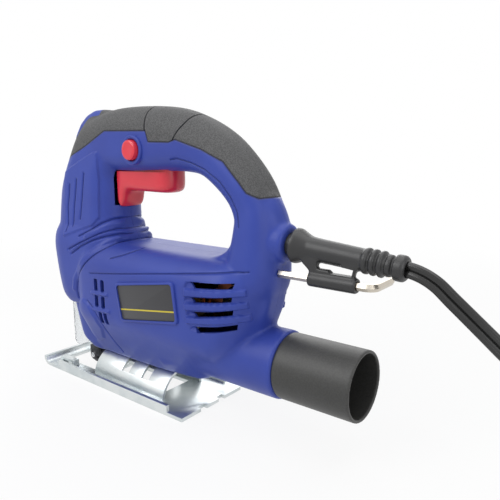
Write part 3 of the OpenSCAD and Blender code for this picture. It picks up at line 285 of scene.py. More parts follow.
def placePiece(bm, name, finish, body, replaces, sharp):
    # turns a bmesh in metres into a finished piece on its body; edges sharper than the angle stay crisp
    for edge in bm.edges:
        edge.smooth = len(edge.link_faces) == 2 and edge.calc_face_angle(0) < math.radians(sharp)
    for face in bm.faces:
        face.smooth = True
    mesh = bpy.data.meshes.new(name)
    bm.to_mesh(mesh)
    bm.free()
    piece = bpy.data.objects.new(name, mesh)
    scene.collection.objects.link(piece)
    mesh.materials.append(finishes[finish])
    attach(piece, body)
    if replaces:
        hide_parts(*replaces)
    return piece


def forNode(bm, node, name, finish=None, sharp=35):
    # a piece that stands for one CAD node: on its body and in its slot
    slot, body = nodeSlot[node], frame["nodes"][node]["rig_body"]
    return placePiece(bm, name, finish or slotFinish[slot], body, [node], sharp)


def settled(bm):
    # points merged and faces turned outwards
    bmesh.ops.remove_doubles(bm, verts=bm.verts, dist=1e-7)
    bmesh.ops.recalc_face_normals(bm, faces=bm.faces)
    return bm


def blank(bm, name="work"):
    # a helper object that holds the mesh
    mesh = bpy.data.meshes.new(name)
    bm.to_mesh(mesh)
    bm.free()
    thing = bpy.data.objects.new(name, mesh)
    scene.collection.objects.link(thing)
    return thing


def applied(thing):
    # the mesh with its modifiers, as a new bmesh; the helper object goes
    bpy.context.view_layer.update()
    shown = thing.evaluated_get(bpy.context.evaluated_depsgraph_get())
    bm = bmesh.new()
    bm.from_mesh(shown.to_mesh())
    shown.to_mesh_clear()
    bpy.data.objects.remove(thing)
    return bm


def remeshed(bm, voxel, rounds):
    # one even skin over everything in the mesh, then smoothed
    thing = blank(bm)
    remesh = thing.modifiers.new("remesh", "REMESH")
    remesh.mode = "VOXEL"
    remesh.voxel_size = voxel * mm
    bm = applied(thing)
    for _ in range(rounds):
        bmesh.ops.smooth_vert(bm, verts=bm.verts, factor=0.5,
                              use_axis_x=True, use_axis_y=True, use_axis_z=True)
    return bm


def combined(first, second, operation):
    # boolean of two bmeshes: DIFFERENCE, INTERSECT or UNION
    one, two = blank(first, "one"), blank(second, "two")
    boolean = one.modifiers.new("boolean", "BOOLEAN")
    boolean.operation, boolean.object, boolean.solver = operation, two, "MANIFOLD"
    bm = applied(one)
    bpy.data.objects.remove(two)
    return bm


def cutFrom(bm, *cutters):
    for cutter in cutters:
        bm = combined(bm, cutter, "DIFFERENCE")
    return bm


def joined(*parts):
    # several meshes in one, not merged
    whole = bmesh.new()
    for part in parts:
        mesh = bpy.data.meshes.new("part")
        part.to_mesh(mesh)
        part.free()
        whole.from_mesh(mesh)
        bpy.data.meshes.remove(mesh)
    return whole


def isAlongY(edge):
    return abs((edge.verts[0].co - edge.verts[1].co).normalized().y) > 0.9


def bevelled(bm, edges, width, segments):
    bmesh.ops.bevel(bm, geom=edges, offset=width, affect="EDGES", segments=segments, profile=0.5, material=-1)


def box(x0, x1, y0, y1, z0, z1, corner=0):
    # a box between two corners, in millimetres; corner rounds its four edges along Y
    bm = bmesh.new()
    bmesh.ops.create_cube(bm, size=1)
    bmesh.ops.scale(bm, vec=(x1 - x0, y1 - y0, z1 - z0), verts=bm.verts)
    if corner:
        bevelled(bm, [e for e in bm.edges if isAlongY(e)], corner, 5)
    bmesh.ops.translate(bm, vec=((x0 + x1) / 2, (y0 + y1) / 2, (z0 + z1) / 2), verts=bm.verts)
    bmesh.ops.scale(bm, vec=(mm, mm, mm), verts=bm.verts)
    return bm


def prism(outline, y0, y1):
    # a side view, drawn in x and z, raised from y0 to y1
    bm = bmesh.new()
    verts = [bm.verts.new((x * mm, y0 * mm, z * mm)) for x, z in outline]
    face = bm.faces.new(verts)
    raised = bmesh.ops.extrude_face_region(bm, geom=[face])
    moved = [v for v in raised["geom"] if isinstance(v, bmesh.types.BMVert)]
    bmesh.ops.translate(bm, vec=(0, (y1 - y0) * mm, 0), verts=moved)
    bmesh.ops.recalc_face_normals(bm, faces=bm.faces)
    return bm


def placed(bm, direction, place):
    # turns a mesh that stands on Z to the direction, moves it and brings it to metres
    turn = Vector((0, 0, 1)).rotation_difference(Vector(direction)).to_matrix()
    bmesh.ops.rotate(bm, cent=(0, 0, 0), matrix=turn, verts=bm.verts)
    bmesh.ops.translate(bm, vec=place, verts=bm.verts)
    bmesh.ops.scale(bm, vec=(mm, mm, mm), verts=bm.verts)
    return bm


def rod(start, end, radius, around=40):
    # a round bar between two points, in millimetres
    a, b = Vector(start), Vector(end)
    bm = bmesh.new()
    bmesh.ops.create_cone(bm, cap_ends=True, segments=around,
                          radius1=radius, radius2=radius, depth=(b - a).length)
    return placed(bm, b - a, (a + b) / 2)


def lathe(profile, place, direction, around=64):
    # spins a profile of (along, radius) round an axis through place
    bm = bmesh.new()
    verts = [bm.verts.new((radius, 0, along)) for along, radius in profile]
    edges = [bm.edges.new(pair) for pair in zip(verts, verts[1:])]
    bmesh.ops.spin(bm, geom=verts + edges, cent=(0, 0, 0), axis=(0, 0, 1), angle=math.tau, steps=around,
                   use_merge=True)
    bmesh.ops.remove_doubles(bm, verts=bm.verts, dist=1e-5)
    placed(bm, direction, place)
    bmesh.ops.recalc_face_normals(bm, faces=bm.faces)
    return bm


def tubeOver(rings, closeEnds=True):
    # a sheet of quads wrapped over rings of points, in millimetres
    count = len(rings[0])
    bm = bmesh.new()
    bmesh.ops.create_grid(bm, x_segments=count, y_segments=len(rings) - 1, size=1)
    for vert in bm.verts:
        i = round((vert.co.x + 1) / 2 * count) % count
        j = round((vert.co.y + 1) / 2 * (len(rings) - 1))
        vert.co = Vector(rings[j][i]) * mm
    bmesh.ops.remove_doubles(bm, verts=bm.verts, dist=1e-6)
    if closeEnds:
        bmesh.ops.holes_fill(bm, edges=[e for e in bm.edges if e.is_boundary], sides=0)
    bmesh.ops.recalc_face_normals(bm, faces=bm.faces)
    return bm


def cadCopy(node):
    # a merged copy of a CAD node's mesh; the node itself stays as it is
    bm = bmesh.new()
    bm.from_mesh(frame["nodes"][node].data)
    bmesh.ops.remove_doubles(bm, verts=bm.verts, dist=2e-6)
    return bm


def softPiece(node, name, voxel, rounds):
    # a moulded part whose edges are rounded all over
    bm = remeshed(cadCopy(node), voxel, rounds)
    return forNode(bm, node, name, sharp=60)


def edgedPiece(node, name, width, finish=None):
    # a sheet-metal or turned part whose edges are broken by a small bevel
    bm = cadCopy(node)
    bmesh.ops.dissolve_limit(bm, angle_limit=math.radians(2), verts=bm.verts, edges=bm.edges)
    edges = [e for e in bm.edges if len(e.link_faces) == 2 and e.calc_face_angle(0) > math.radians(40)]
    bmesh.ops.bevel(bm, geom=edges, offset=width * mm, offset_type="OFFSET", affect="EDGES", segments=2,
                    profile=0.5, clamp_overlap=True, material=-1)
    return forNode(bm, node, name, finish, 30)


def smoothRow(rows, at):
    # monotone curve through rows whose first number is the place, so that nothing overshoots
    places = [row[0] for row in rows]
    at = min(max(at, places[0]), places[-1])
    k = max(i for i in range(len(rows) - 1) if places[i] <= at)
    out = []
    for c in range(1, len(rows[0])):
        rise = [(rows[i + 1][c] - rows[i][c]) / (places[i + 1] - places[i]) for i in range(len(rows) - 1)]
        inner = [0 if a * b <= 0 else 2 * a * b / (a + b) for a, b in zip(rise, rise[1:])]
        slope = [rise[0], *inner, rise[-1]]
        h = places[k + 1] - places[k]
        t = (at - places[k]) / h
        out.append((2 * t**3 - 3 * t**2 + 1) * rows[k][c] + (t**3 - 2 * t**2 + t) * h * slope[k]
                   + (3 * t**2 - 2 * t**3) * rows[k + 1][c] + (t**3 - t**2) * h * slope[k + 1])
    return out


def between(low, high, step):
    # even places from low to high, about a step apart
    count = max(2, round((high - low) / step))
    return [low + (high - low) * i / count for i in range(count + 1)]


def bandRound(circles, count):
    # the outline of a band laid round some circles (across, up, radius)
    points = []
    for i in range(count):
        a = math.tau * i / count
        n = (math.cos(a), math.sin(a))
        c = max(circles, key=lambda c: c[0] * n[0] + c[1] * n[1] + c[2])
        points.append((c[0] + c[2] * n[0], c[1] + c[2] * n[1]))
    return points


def curveThrough(points, steps):
    # a smooth line through every point
    line = []
    for i in range(len(points) - 1):
        a, b, c, d = (Vector(points[j]) for j in (max(0, i - 1), i, i + 1, min(len(points) - 1, i + 2)))
        for j in range(steps):
            t = j / steps
            square, cube = 2 * a - 5 * b + 4 * c - d, 3 * b - a - 3 * c + d
            line.append(((2 * b) + (c - a) * t + square * t * t + cube * t**3) / 2)
    return line + [Vector(points[-1])]


flexSet = {
    "coreRadius": 2.1, "waist": 0.34, "around": 24, "length": 2.0,
    "reliefAxis": (73.8, 118.3, 4.7),  # x and z of the boss's face, and how far the axis falls, in degrees
    "inside": (50, 79, 104, 128.5), "inRelief": (128, 134, 138, 142),
    "dropRadius": 34, "dropAngles": (11, 18, 25, 32, 38.5),
    # x, y, z and how far the flat flex is turned on edge, in degrees
    "free": [(165, 0, 101.4, 78), (170.5, 0, 96.9, 77), (178, -0.5, 91, 74), (187, -2.2, 84.4, 70),
             (197, -5.4, 77.5, 70), (206.5, -10.8, 69.6, 72), (214.5, -17.1, 61.4, 76),
             (221.5, -22, 52.2, 79), (228, -24.9, 42, 74), (235, -25.2, 32.3, 62), (243.2, -25.2, 23, 44),
             (253, -25.2, 14.7, 24), (264, -25.2, 8.5, 8), (278.5, -25.2, 4.2, 0), (288, -25.2, 3.3, 0)],
    "hankX": 361.5, "halfRun": 61.5, "fold": 25.2,
    "lowest": 3.1, "layerRise": 4.25, "layers": 5, "pointsPerTurn": 72, "climb": 0.1,
    "tailStart": 428, "tailEnd": 484.7, "tailSide": -18, "tailLow": 6, "tailPoints": 8,
}


def eased(t):
    return t * t * (3 - 2 * t)


def stepAt(line, i):
    return line[min(len(line) - 1, i + 1)] - line[max(0, i - 1)]


def onReliefAxis(x):
    x0, z0, tilt = flexSet["reliefAxis"]
    return (x, 0, z0 - (x - x0) * math.tan(math.radians(tilt)), 90)


def leavingPoints():
    # out of the relief along its axis, then a round drop
    s = flexSet
    tilt, drop = s["reliefAxis"][2], s["dropRadius"]
    fall = math.radians(tilt)
    points = [onReliefAxis(x) for x in s["inRelief"]]
    x1, _, z1, _ = points[-1]
    for degrees in s["dropAngles"]:
        a = math.radians(degrees)
        x = x1 + drop * (math.sin(a) - math.sin(fall))
        z = z1 - drop * (math.cos(fall) - math.cos(a))
        points.append((x, 0, z, 90 - 0.3 * (degrees - tilt)))
    return points + s["free"]


def hankPoint(turn):
    # a point on the folded hank after that many turns; the turns lie on each other
    s = flexSet
    whole = min(int(turn), s["layers"] - 1)
    share = turn - whole
    height = s["lowest"] + s["layerRise"] * whole
    start = 0.85 - s["climb"] * whole  # each layer climbs a little earlier than the one below
    if whole < s["layers"] - 1 and share > start:
        height += s["layerRise"] * eased(min(1, (share - start) / s["climb"]))
    fold, half, flip = s["fold"], s["halfRun"], 1
    run, bend = 2 * half, math.pi * fold
    along = share * 2 * (run + bend)
    if along >= run + bend:  # the way back is the way there, turned about the middle
        along, flip = along - run - bend, -1
    x, y = along - half, -fold
    if along > run:
        a = (along - run) / fold
        x, y = half + fold * math.sin(a), -fold * math.cos(a)
    return (s["hankX"] + flip * x, flip * y, height, 0)


def flexLine():
    s = flexSet
    run, bend = 2 * s["halfRun"], math.pi * s["fold"]
    turns = s["layers"] - 1 + run / (2 * (run + bend))
    count = int(turns * s["pointsPerTurn"])
    hank = [hankPoint(turns * i / count) for i in range(count + 1)]
    top = s["lowest"] + s["layerRise"] * (s["layers"] - 1)
    tail = []
    for i in range(s["tailPoints"] + 1):  # from the hank's top down to the plug
        t = i / s["tailPoints"]
        x = s["tailStart"] + t * (s["tailEnd"] - s["tailStart"])
        y = -s["fold"] + (s["tailSide"] + s["fold"]) * eased(t)
        tail.append((x, y, top + (s["tailLow"] - top) * eased(t), 0))
    line = curveThrough(leavingPoints() + [hank[0]], 4)[:-1] + [Vector(p) for p in hank]
    return line + curveThrough([hank[-1], *tail], 4)[1:]


def flexSection():
    # two round cores side by side with a shallow valley between them
    core, around, section = flexSet["coreRadius"], flexSet["around"], []
    for i in range(around):
        a = math.tau * i / around
        wide = 2 * core * math.cos(a)
        high = math.sqrt(max(0.0, core**2 - (abs(wide) - core) ** 2))
        if abs(wide) < core:
            high = max(high, flexSet["waist"] * core)
        section.append((wide, math.copysign(high, math.sin(a)) if i % (around // 2) else 0.0))
    return section


def flexTube(line):
    rings = []
    for i, point in enumerate(line):
        ahead = stepAt(line, i).to_3d().normalized()
        side = Vector((0, 0, 1)).cross(ahead).normalized()
        up = ahead.cross(side)
        turn = math.radians(point[3])
        flat = math.cos(turn) * side + math.sin(turn) * up
        thin = ahead.cross(flat)
        rings.append([point.to_3d() + flat * w + thin * t for w, t in flexSection()])
    return tubeOver(rings)


def makeFlex():
    line = flexLine()
    nodes = ["cord_flex", "cord_coil", "cord_tail"]
    flex = placePiece(settled(flexTube(line)), "flex", "cordRubber", "housing", nodes, 75)
    # the stretch from the cable clamp through the relief
    hidden = flexTube(curveThrough([onReliefAxis(x) for x in flexSet["inside"]], 3))
    placePiece(settled(hidden), "flexInside", "cordRubber", "housing", [], 75)
    return flex, [tuple(p.to_3d() * mm) for p in line]


def makePlug():
    plug = softPiece("plug_body", "plugBody", 0.7, 8)
    pins = edgedPiece("plug_pins", "plugPins", 0.6)
    return [plug, pins]


tieSet = {
    "x0": 354.5, "x1": 368.5, "half": 30.0, "bottom": 0.9, "top": 22.4, "corner": 4.4,
    "thick": 0.8, "edge": 0.45, "inset": 0.3, "lap": (-18, 12, 0.5, 1.3),
}


def makeTie():
    # a strap that lies round all the turns, its end lapped on top
    s = tieSet
    x0, x1, corner, inset = s["x0"], s["x1"], s["corner"], s["inset"]

    def loop(x, out):
        sides = (corner - s["half"], s["half"] - corner)
        heights = (s["bottom"] + corner, s["top"] - corner)
        circles = [(y, z, corner + out) for y in sides for z in heights]
        return [(x, y, z) for y, z in bandRound(circles, 64)]

    section = [(x0, s["edge"]), (x0 + 0.5, s["thick"]), (x1 - 0.5, s["thick"]), (x1, s["edge"]),
               (x1 - inset, 0.0), (x0 + inset, 0.0), (x0, s["edge"])]
    strap = tubeOver([loop(x, out) for x, out in section], closeEnds=False)
    y0, y1, low, high = s["lap"]
    lap = box(x0 + inset, x1 - inset, y0, y1, s["top"] + low, s["top"] + high)
    bevelled(lap, list(lap.edges), inset * mm, 2)
    tie = settled(joined(strap, lap))
    return placePiece(tie, "tieStrap", "blackPlastic", "housing", ["coil_tie"], 35)


flex, flexPath = makeFlex()
plugPieces = makePlug()
tie = makeTie()
print("flex laid")


studioSet = {
    "world": 0.27, "aim": (-0.03, 0, 0.09),
    "floorSize": 6, "floorLow": -0.0002, "shadowShare": 0.14, "shadowReach": (0.35, 0.8),
    # name, place, size, power
    "lamps": [("keyLight", (-0.35, -0.75, 0.75), 0.7, 5.6), ("topLight", (0.10, 0.05, 1.05), 0.9, 4.4),
              ("fillLight", (0.95, -0.35, 0.45), 0.7, 2.8), ("backLight", (-0.5, 0.8, 0.6), 0.8, 3.4)],
}


def makeFloor():
    # white where it is seen, but for a share that lets the shadow through near the tool
    s = studioSet
    bm = bmesh.new()
    bmesh.ops.create_grid(bm, x_segments=1, y_segments=1, size=s["floorSize"])
    bmesh.ops.translate(bm, vec=(0, 0, s["floorLow"]), verts=bm.verts)
    p = Paint("paleFloor")
    away = p.add("ShaderNodeVectorMath", {"operation": "DISTANCE"}, {0: p.place, 1: (0.0, 0.0, 0.0)}, "Value")
    away = away.band(*s["shadowReach"])
    p.finish(base_color=p.blend(p.noise(3, 2), (0.90, 0.90, 0.90), (0.88, 0.88, 0.88)), roughness=0.9)
    glow = p.add("ShaderNodeEmission", {}, {"Color": (1, 1, 1, 1), "Strength": 1.0})
    share = p.seen() * (away * s["shadowShare"] + (1 - s["shadowShare"]))
    mix = p.add("ShaderNodeMixShader", {}, {0: share, 1: Value(p, p.shader.outputs[0]), 2: glow})
    p.tree.links.new(mix.socket, p.tree.nodes["Material Output"].inputs["Surface"])
    floor = blank(bm, "floor")
    floor.data.materials.append(p.material)


def makeWorld():
    world = bpy.data.worlds.new("studio")
    scene.world = world
    world.use_nodes = True
    w = Nodes(world.node_tree)
    soft = w.add("ShaderNodeBackground", {}, {"Color": (0.96, 0.98, 1.0, 1), "Strength": studioSet["world"]})
    white = w.add("ShaderNodeBackground", {}, {"Color": (1, 1, 1, 1), "Strength": 1.0})
    mix = w.add("ShaderNodeMixShader", {}, {0: w.seen(), 1: soft, 2: white})
    w.tree.links.new(mix.socket, w.tree.nodes["World Output"].inputs["Surface"])


def makeLamps():
    for name, place, size, power in studioSet["lamps"]:
        data = bpy.data.lights.new(name, "AREA")
        data.shape, data.size, data.energy = "SQUARE", size, power
        lamp = bpy.data.objects.new(name, data)
        scene.collection.objects.link(lamp)
        lamp.location = place
        lamp.rotation_mode = "QUATERNION"
        lamp.rotation_quaternion = (Vector(studioSet["aim"]) - Vector(place)).to_track_quat("-Z", "Y")


scene.view_settings.view_transform = "Standard"
makeFloor()
makeWorld()
makeLamps()
print("studio set")


casingSet = {
    "wall": 2.6, "gripDepth": 1.6, "seamGap": 0.06,
    # width of a voxel and rounds of smoothing for the outside, the hollow and the foot of the grips
    "outerSkin": (0.94, 10), "hollowSkin": (2.0, 3), "gripSkin": (1.1, 5),
    # barrel: x, half width, top, bottom, half width of the keel
    "barrel": [(-94, 28, 101, 17, 5), (-84, 31.2, 106, 17, 5), (-60, 32, 107, 17, 5), (8, 32, 107, 20, 5),
               (40.8, 30, 107, 45, 8), (51.8, 25.5, 106.5, 51, 6), (60.8, 18, 105, 57, 4),
               (66, 11, 102, 63, 2.5), (69.2, 3.5, 96, 72, 1)],
    # head, column, nose and the handle's foot: z, front, back, half width
    "head": [(56, -131, -80, 22), (62, -135.5, -76, 25), (73, -138, -70, 26.5), (88, -140.5, -64, 27),
             (101, -142, -60, 27), (109, -141.5, -57, 25.5), (116, -138.5, -61, 21.8)],
    "column": [(114, -138.5, -62, 21.5), (127, -137, -65, 20.5), (141, -134.5, -65, 20),
               (151, -130.5, -65, 20), (165, -123, -60, 19.2), (178, -115.5, -60, 17.8),
               (187, -109.5, -65, 14.5), (194, -103, -70, 9.5), (199.5, -94, -75, 5)],
    "nose": [(18, -111, -84, 11), (22, -114, -84, 13), (25, -121, -84, 13.5), (36, -125, -84, 14),
             (58, -131, -84, 15)],
    "foot": [(104, 20, 60, 15), (107.6, 26, 60, 15), (109, 31, 62, 15), (112, 35.5, 67, 14.5),
             (116, 38, 71, 14), (121, 39.5, 72.6, 13.5), (128, 41.5, 71.8, 13), (138, 42, 68.2, 12.5),
             (147, 44, 62, 12)],
    # fillet at the opening's rear corner: z, front, half width, corner radius
    "fillet": [(103, 22, 15, 5), (107.4, 26, 15, 5), (108.6, 31, 15.5, 6), (111.6, 35.4, 16, 8),
               (116, 38.4, 16.8, 10), (122, 39.9, 17.4, 11.5), (126, 41, 17.6, 12)],
    "filletBack": (52, 5),
    # handle: x, z, radius, half width
    "handle": [(-90, 176.8, 19.4, 18.2), (-71, 178.7, 21.5, 18.8), (-47, 179, 22, 19),
               (-16, 178.5, 20.5, 19), (4, 175.5, 18, 19), (21, 169.5, 15, 18.5), (34, 160, 13.5, 18),
               (45, 148.5, 12.5, 17.5), (51, 138, 12.5, 17), (54, 127, 13.5, 18), (53, 97.5, 16, 21),
               (51, 87, 14, 17), (48.5, 78, 12, 13)],
    # duct: x, z, radius
    "duct": [(-20, 36.5, 18.5), (22, 44.5, 20.7), (74.8, 45, 21)],
    # spine over the head's front: x and z of its middle line, then its radius and half width of its flat
    "ridge": [(-118.4, 169), (-115.2, 181), (-109.0, 188.8), (-102.4, 193.5), (-94.6, 196.1), (-86.5, 196.2),
              (-79.5, 195.4)],
    "ridgeRadius": 4.6, "ridgeHalf": 3,
    # boss of the cord relief: how far along from its face, radius
    "boss": [(-30, 12.5), (-18, 12.0), (-6, 11.7), (-1.5, 11.5), (0.2, 10.8), (0.8, 9.5)],
    "bossFace": (73.8, 118.3), "bossTilt": 4.7,
}


def tailDrop(x, z):
    # the barrel's end leans forwards towards its foot
    return max(0.0, x - 40) / 28 * min(7.0, max(0.0, 97 - z) * 0.24)


def upAt(line, i):
    # square to a line that is drawn in the side view
    step = stepAt(line, i)
    return Vector((-step[1], 0, step[0])).normalized()


def ringAt(x, z, up, outline):
    # an outline of (across, up), stood on a place in the side view
    return [Vector((x, w, z)) + up * t for w, t in outline]


def ridgeForm():
    # the raised spine over the head's front, between the two grips
    s = casingSet
    line = [Vector(p) for p in s["ridge"]]
    outline = bandRound([(side * s["ridgeHalf"], 0, s["ridgeRadius"]) for side in (-1, 1)], 48)
    return tubeOver([ringAt(x, z, upAt(line, i), outline) for i, (x, z) in enumerate(line)])


def barrelForm(k, step):
    # the motor's barrel with its narrow keel, drawn in by k
    rows = casingSet["barrel"]
    rings = []
    for x in between(rows[0][0], rows[-1][0], step):
        half, top, low, keel = smoothRow(rows, x)
        r1, r2 = min(18, half), min(20, half)
        mid = max(60, low + r2)
        rounds = ((r1, top - r1), (r2, mid))
        circles = [(side * (half - r), z, max(r - k, 0.4)) for side in (-1, 1) for r, z in rounds]
        circles += [(side * keel, low + 8, 8 - k) for side in (-1, 1)]
        back = k if x > 67 else 0
        rings.append([(x - back - tailDrop(x, z), y, z) for y, z in bandRound(circles, 88)])
    return tubeOver(rings)


def uprightForm(rows, k, step):
    # a form with round ends in plan, stacked up Z
    rings = []
    for z in between(rows[0][0], rows[-1][0], step * 0.75):
        front, back, half = smoothRow(rows, z)
        half = min(half, (back - front) / 2)
        height = min(max(z, rows[0][0] + k), rows[-1][0] - k)
        circles = [(front + half, 0, half - k), (back - half, 0, half - k)]
        rings.append([(x, y, height) for x, y in bandRound(circles, 72)])
    return tubeOver(rings)


def filletForm(k):
    back, r = casingSet["filletBack"]
    rings = []
    for z, front, half, e in casingSet["fillet"]:
        circles = [(front + e, side * (half - e), e - k) for side in (-1, 1)]
        circles += [(back, side * (half - r), r - k) for side in (-1, 1)]
        rings.append([(x, y, z) for x, y in bandRound(circles, 64)])
    return tubeOver(rings)


def handleForm(k):
    line = curveThrough(casingSet["handle"], 5)
    rings = []
    for i, (x, z, radius, width) in enumerate(line):
        r, half = radius - k, width - k
        corners = ((-1, min(12, r)), (1, min(18, r, half)))  # tighter below than above
        outline = bandRound([(sx * (half - e), sz * (r - e), e) for sx in (-1, 1) for sz, e in corners], 64)
        rings.append(ringAt(x, z, upAt(line, i), outline))
    return tubeOver(rings)


def handleEnd(k):
    # the round front end of the handle's top
    x, z, radius, width = casingSet["handle"][0]
    r, half = radius - k, width - k
    e = min(18, r, half)
    outline = bandRound([(sx * (half - e), sz * (r - e), e) for sx in (-1, 1) for sz in (-1, 1)], 64)
    rings = []
    for degrees in between(0, 88, 11):
        a = math.radians(degrees)
        front, narrow, low = x - r * math.sin(a) * 0.9, 0.4 + 0.6 * math.cos(a), math.cos(a)
        rings.append([(front, w * narrow, z + t * low) for w, t in outline])
    return tubeOver(rings)


def ductForm(k, step):
    rows = casingSet["duct"]
    rings = []
    for x in between(rows[0][0], rows[-1][0], step):
        z, r = smoothRow(rows, x)
        rings.append([(x, y, up) for y, up in bandRound([(0, z, r - k)], 56)])
    return tubeOver(rings)


def casingForm(k, step=4):
    # the casing's main forms as closed lofts, all drawn in by k
    forms = [barrelForm(k, step)]
    forms += [uprightForm(casingSet[part], k, step) for part in ("head", "column", "nose", "foot")]
    return forms + [filletForm(k), handleForm(k), handleEnd(k), ductForm(k, step)]


def bossAxis():
    x, z = casingSet["bossFace"]
    tilt = math.radians(casingSet["bossTilt"])
    return Vector((x, 0, z)), Vector((math.cos(tilt), 0, -math.sin(tilt)))


def bossForm():
    face, ahead = bossAxis()
    up = Vector((-ahead.z, 0, ahead.x))
    rings = []
    for along, r in casingSet["boss"]:
        centre = face + ahead * along
        rings.append(ringAt(centre.x, centre.z, up, bandRound([(0, 0, r)], 48)))
    return tubeOver(rings)


def toLine(x, z, points):
    # distance in the side view from a point to an open chain of points
    best = 1e9
    for (x0, z0), (x1, z1) in zip(points, points[1:]):
        dx, dz = x1 - x0, z1 - z0
        t = max(0.0, min(1.0, ((x - x0) * dx + (z - z0) * dz) / (dx * dx + dz * dz)))
        best = min(best, math.hypot(x - x0 - t * dx, z - z0 - t * dz))
    return best


detailSet = {
    # points in the side view, half width, height; a minus presses the line into the shell
    "marks": [
        ([(-57, 108.4), (-61, 107.2), (-65.8, 103.6), (-74.5, 97.4), (-82.2, 90.7), (-90.9, 83),
          (-97.3, 75.3), (-99.5, 68.4), (-99.3, 62)], 1.5, -1.1),
        ([(-62, 110.6), (-68, 106.9), (-77, 100.6), (-85, 93.8), (-94, 85.8), (-100.6, 77.5),
          (-103.2, 69)], 2.6, 0.8),
        ([(-59.3, 112.6), (-62.8, 112.8), (-69.6, 111.2), (-78.8, 107.9), (-91.2, 102.5),
          (-103, 96)], 1.5, -0.9),
        ([(-59, 116.4), (-66.3, 116.3), (-73.8, 113.3), (-81.6, 109.4), (-94, 104.4), (-106, 99)], 1.5, -1.0),
        ([(-60, 124.9), (-68.7, 123.3), (-75.1, 120.3), (-83.7, 115), (-95, 109.6)], 1.5, -0.9),
        ([(-59, 114.6), (-68, 113.7), (-76, 110.7), (-86, 106.2), (-100, 99.8)], 1.9, 0.8),
        ([(-60, 120.4), (-68, 119.8), (-76, 116.4), (-86, 111.2)], 3.4, 1.1),
        ([(-53.6, 98.6), (-42.7, 102), (-31.9, 106.6)], 1.2, -0.4),
        ([(-73.9, 85.9), (-43.4, 89.7), (-10.9, 94.2), (16.6, 97.9), (40.3, 100.9),
          (59.2, 102.9)], 1.1, -0.5),
        ([(-108.1, 147), (-111.5, 128.7), (-110.5, 112)], 1.4, -0.9),
        ([(-99.3, 150.9), (-103.5, 130.5), (-104.6, 116)], 1.4, -0.9),
        ([(-90.1, 155.3), (-93.7, 137.2), (-96.3, 121.7)], 1.4, -0.9),
        ([(-79.1, 64.8), (-71.9, 59.9), (-67.1, 52.4), (-67.4, 43.2), (-66.5, 34.6),
          (-63.4, 24.4)], 1.4, -0.7),
        ([(-3.7, 165.3), (1.8, 166.1), (12.4, 163.9), (24.6, 159.6), (36.2, 152.7), (43.6, 144.4),
          (48.2, 136.1), (50, 127.6)], 1.2, -0.6),
        ([(-72.5, 72), (-55.5, 73.2)], 2.0, 1.5),
        ([(-72, 60.2), (-54, 61.4)], 2.0, 1.5),
    ],
    # outline, width of its edge, height
    "pads": [
        ([(-115, 152), (-114.5, 156), (-96, 164.1), (-80.5, 170), (-76.5, 170.2), (-75.5, 166),
          (-76.8, 138), (-77, 124), (-82, 118.5), (-112, 108), (-116.5, 118)], 1.6, 1.3),
        ([(20, 85.3), (57.5, 89), (57.5, 92.5), (20, 89.3)], 1.1, 1.7),
        ([(20, 76.7), (57.8, 81.5), (57.8, 85.3), (20, 80.7)], 1.1, 1.7),
        ([(21, 68.4), (58.2, 73.7), (58.2, 77.6), (21, 72.3)], 1.1, 1.7),
        ([(19.5, 90.2), (31, 90.9), (30, 94.6), (20.5, 93.6)], 1.4, -1.3),
        ([(19.5, 81.8), (31, 82.4), (30, 85.2), (20, 84.6)], 1.4, -1.3),
        ([(21, 73.3), (33, 73.9), (31, 76.4), (21.5, 75.6)], 1.4, -1.3),
        ([(24, 65), (34, 64.5), (32, 67.5), (25, 67)], 1.4, -1.3),
        ([(-91, 63), (-84.6, 65), (-77.3, 62), (-71.2, 54), (-70.4, 45), (-77.4, 34), (-88, 29), (-97, 36),
          (-99, 52)], 3.2, 1.2),
    ],
}


def isInside(x, z, outline):
    inside = False
    for (x0, z0), (x1, z1) in zip(outline, outline[1:] + outline[:1]):
        if (z0 > z) != (z1 > z) and x < x0 + (z - z0) / (z1 - z0) * (x1 - x0):
            inside = not inside
    return inside


def reachOf(points, reach):
    # the outer box of the points, widened by reach
    return (min(p[0] for p in points) - reach, max(p[0] for p in points) + reach,
            min(p[1] for p in points) - reach, max(p[1] for p in points) + reach)


def within(x, z, reach):
    return reach[0] < x < reach[1] and reach[2] < z < reach[3]


marks = [(points, half, rise, reachOf(points, half)) for points, half, rise in detailSet["marks"]]
pads = [(points, edge, rise, reachOf(points, edge)) for points, edge, rise in detailSet["pads"]]


def proudAt(x, z):
    # how far the shell stands proud of its plain form at a place in the side view
    height = 0.0
    for points, half, rise, reach in marks:
        if within(x, z, reach):
            d = toLine(x, z, points)
            if d < half:
                height += rise * (1 - eased(d / half))
    for points, edge, rise, reach in pads:
        if within(x, z, reach):
            d = toLine(x, z, points + points[:1]) * (1 if isInside(x, z, points) else -1)
            height += rise * eased(min(1.0, max(0.0, d / edge + 0.5)))
    return height


def isDetail(x, z):
    near = [toLine(x, z, points) < half + 0.6 for points, half, _, reach in marks if within(x, z, reach)]
    near += [toLine(x, z, points + points[:1]) < edge
             for points, edge, _, reach in pads if within(x, z, reach)]
    return any(near)


def detailed(bm):
    # finer faces where there are details, then the shell's lines, pads and louvres
    def isNear(face):
        c = face.calc_center_median() / mm
        return abs(face.normal.y) > 0.12 and isDetail(c.x, c.z)

    faces = [f for f in bm.faces if isNear(f)]
    edges = list({e for f in faces for e in f.edges})
    bmesh.ops.subdivide_edges(bm, edges=edges, cuts=1, use_grid_fill=True)
    bm.normal_update()
    moves = []
    for vert in bm.verts:
        side = abs(vert.normal.y)
        if side > 0.1 and vert.co.y * vert.normal.y > 0:
            height = proudAt(vert.co.x / mm, vert.co.z / mm)
            if height:
                moves.append((vert, vert.normal * (height * mm * eased(min(1.0, (side - 0.1) / 0.35)))))
    for vert, move in moves:
        vert.co += move
    return bm


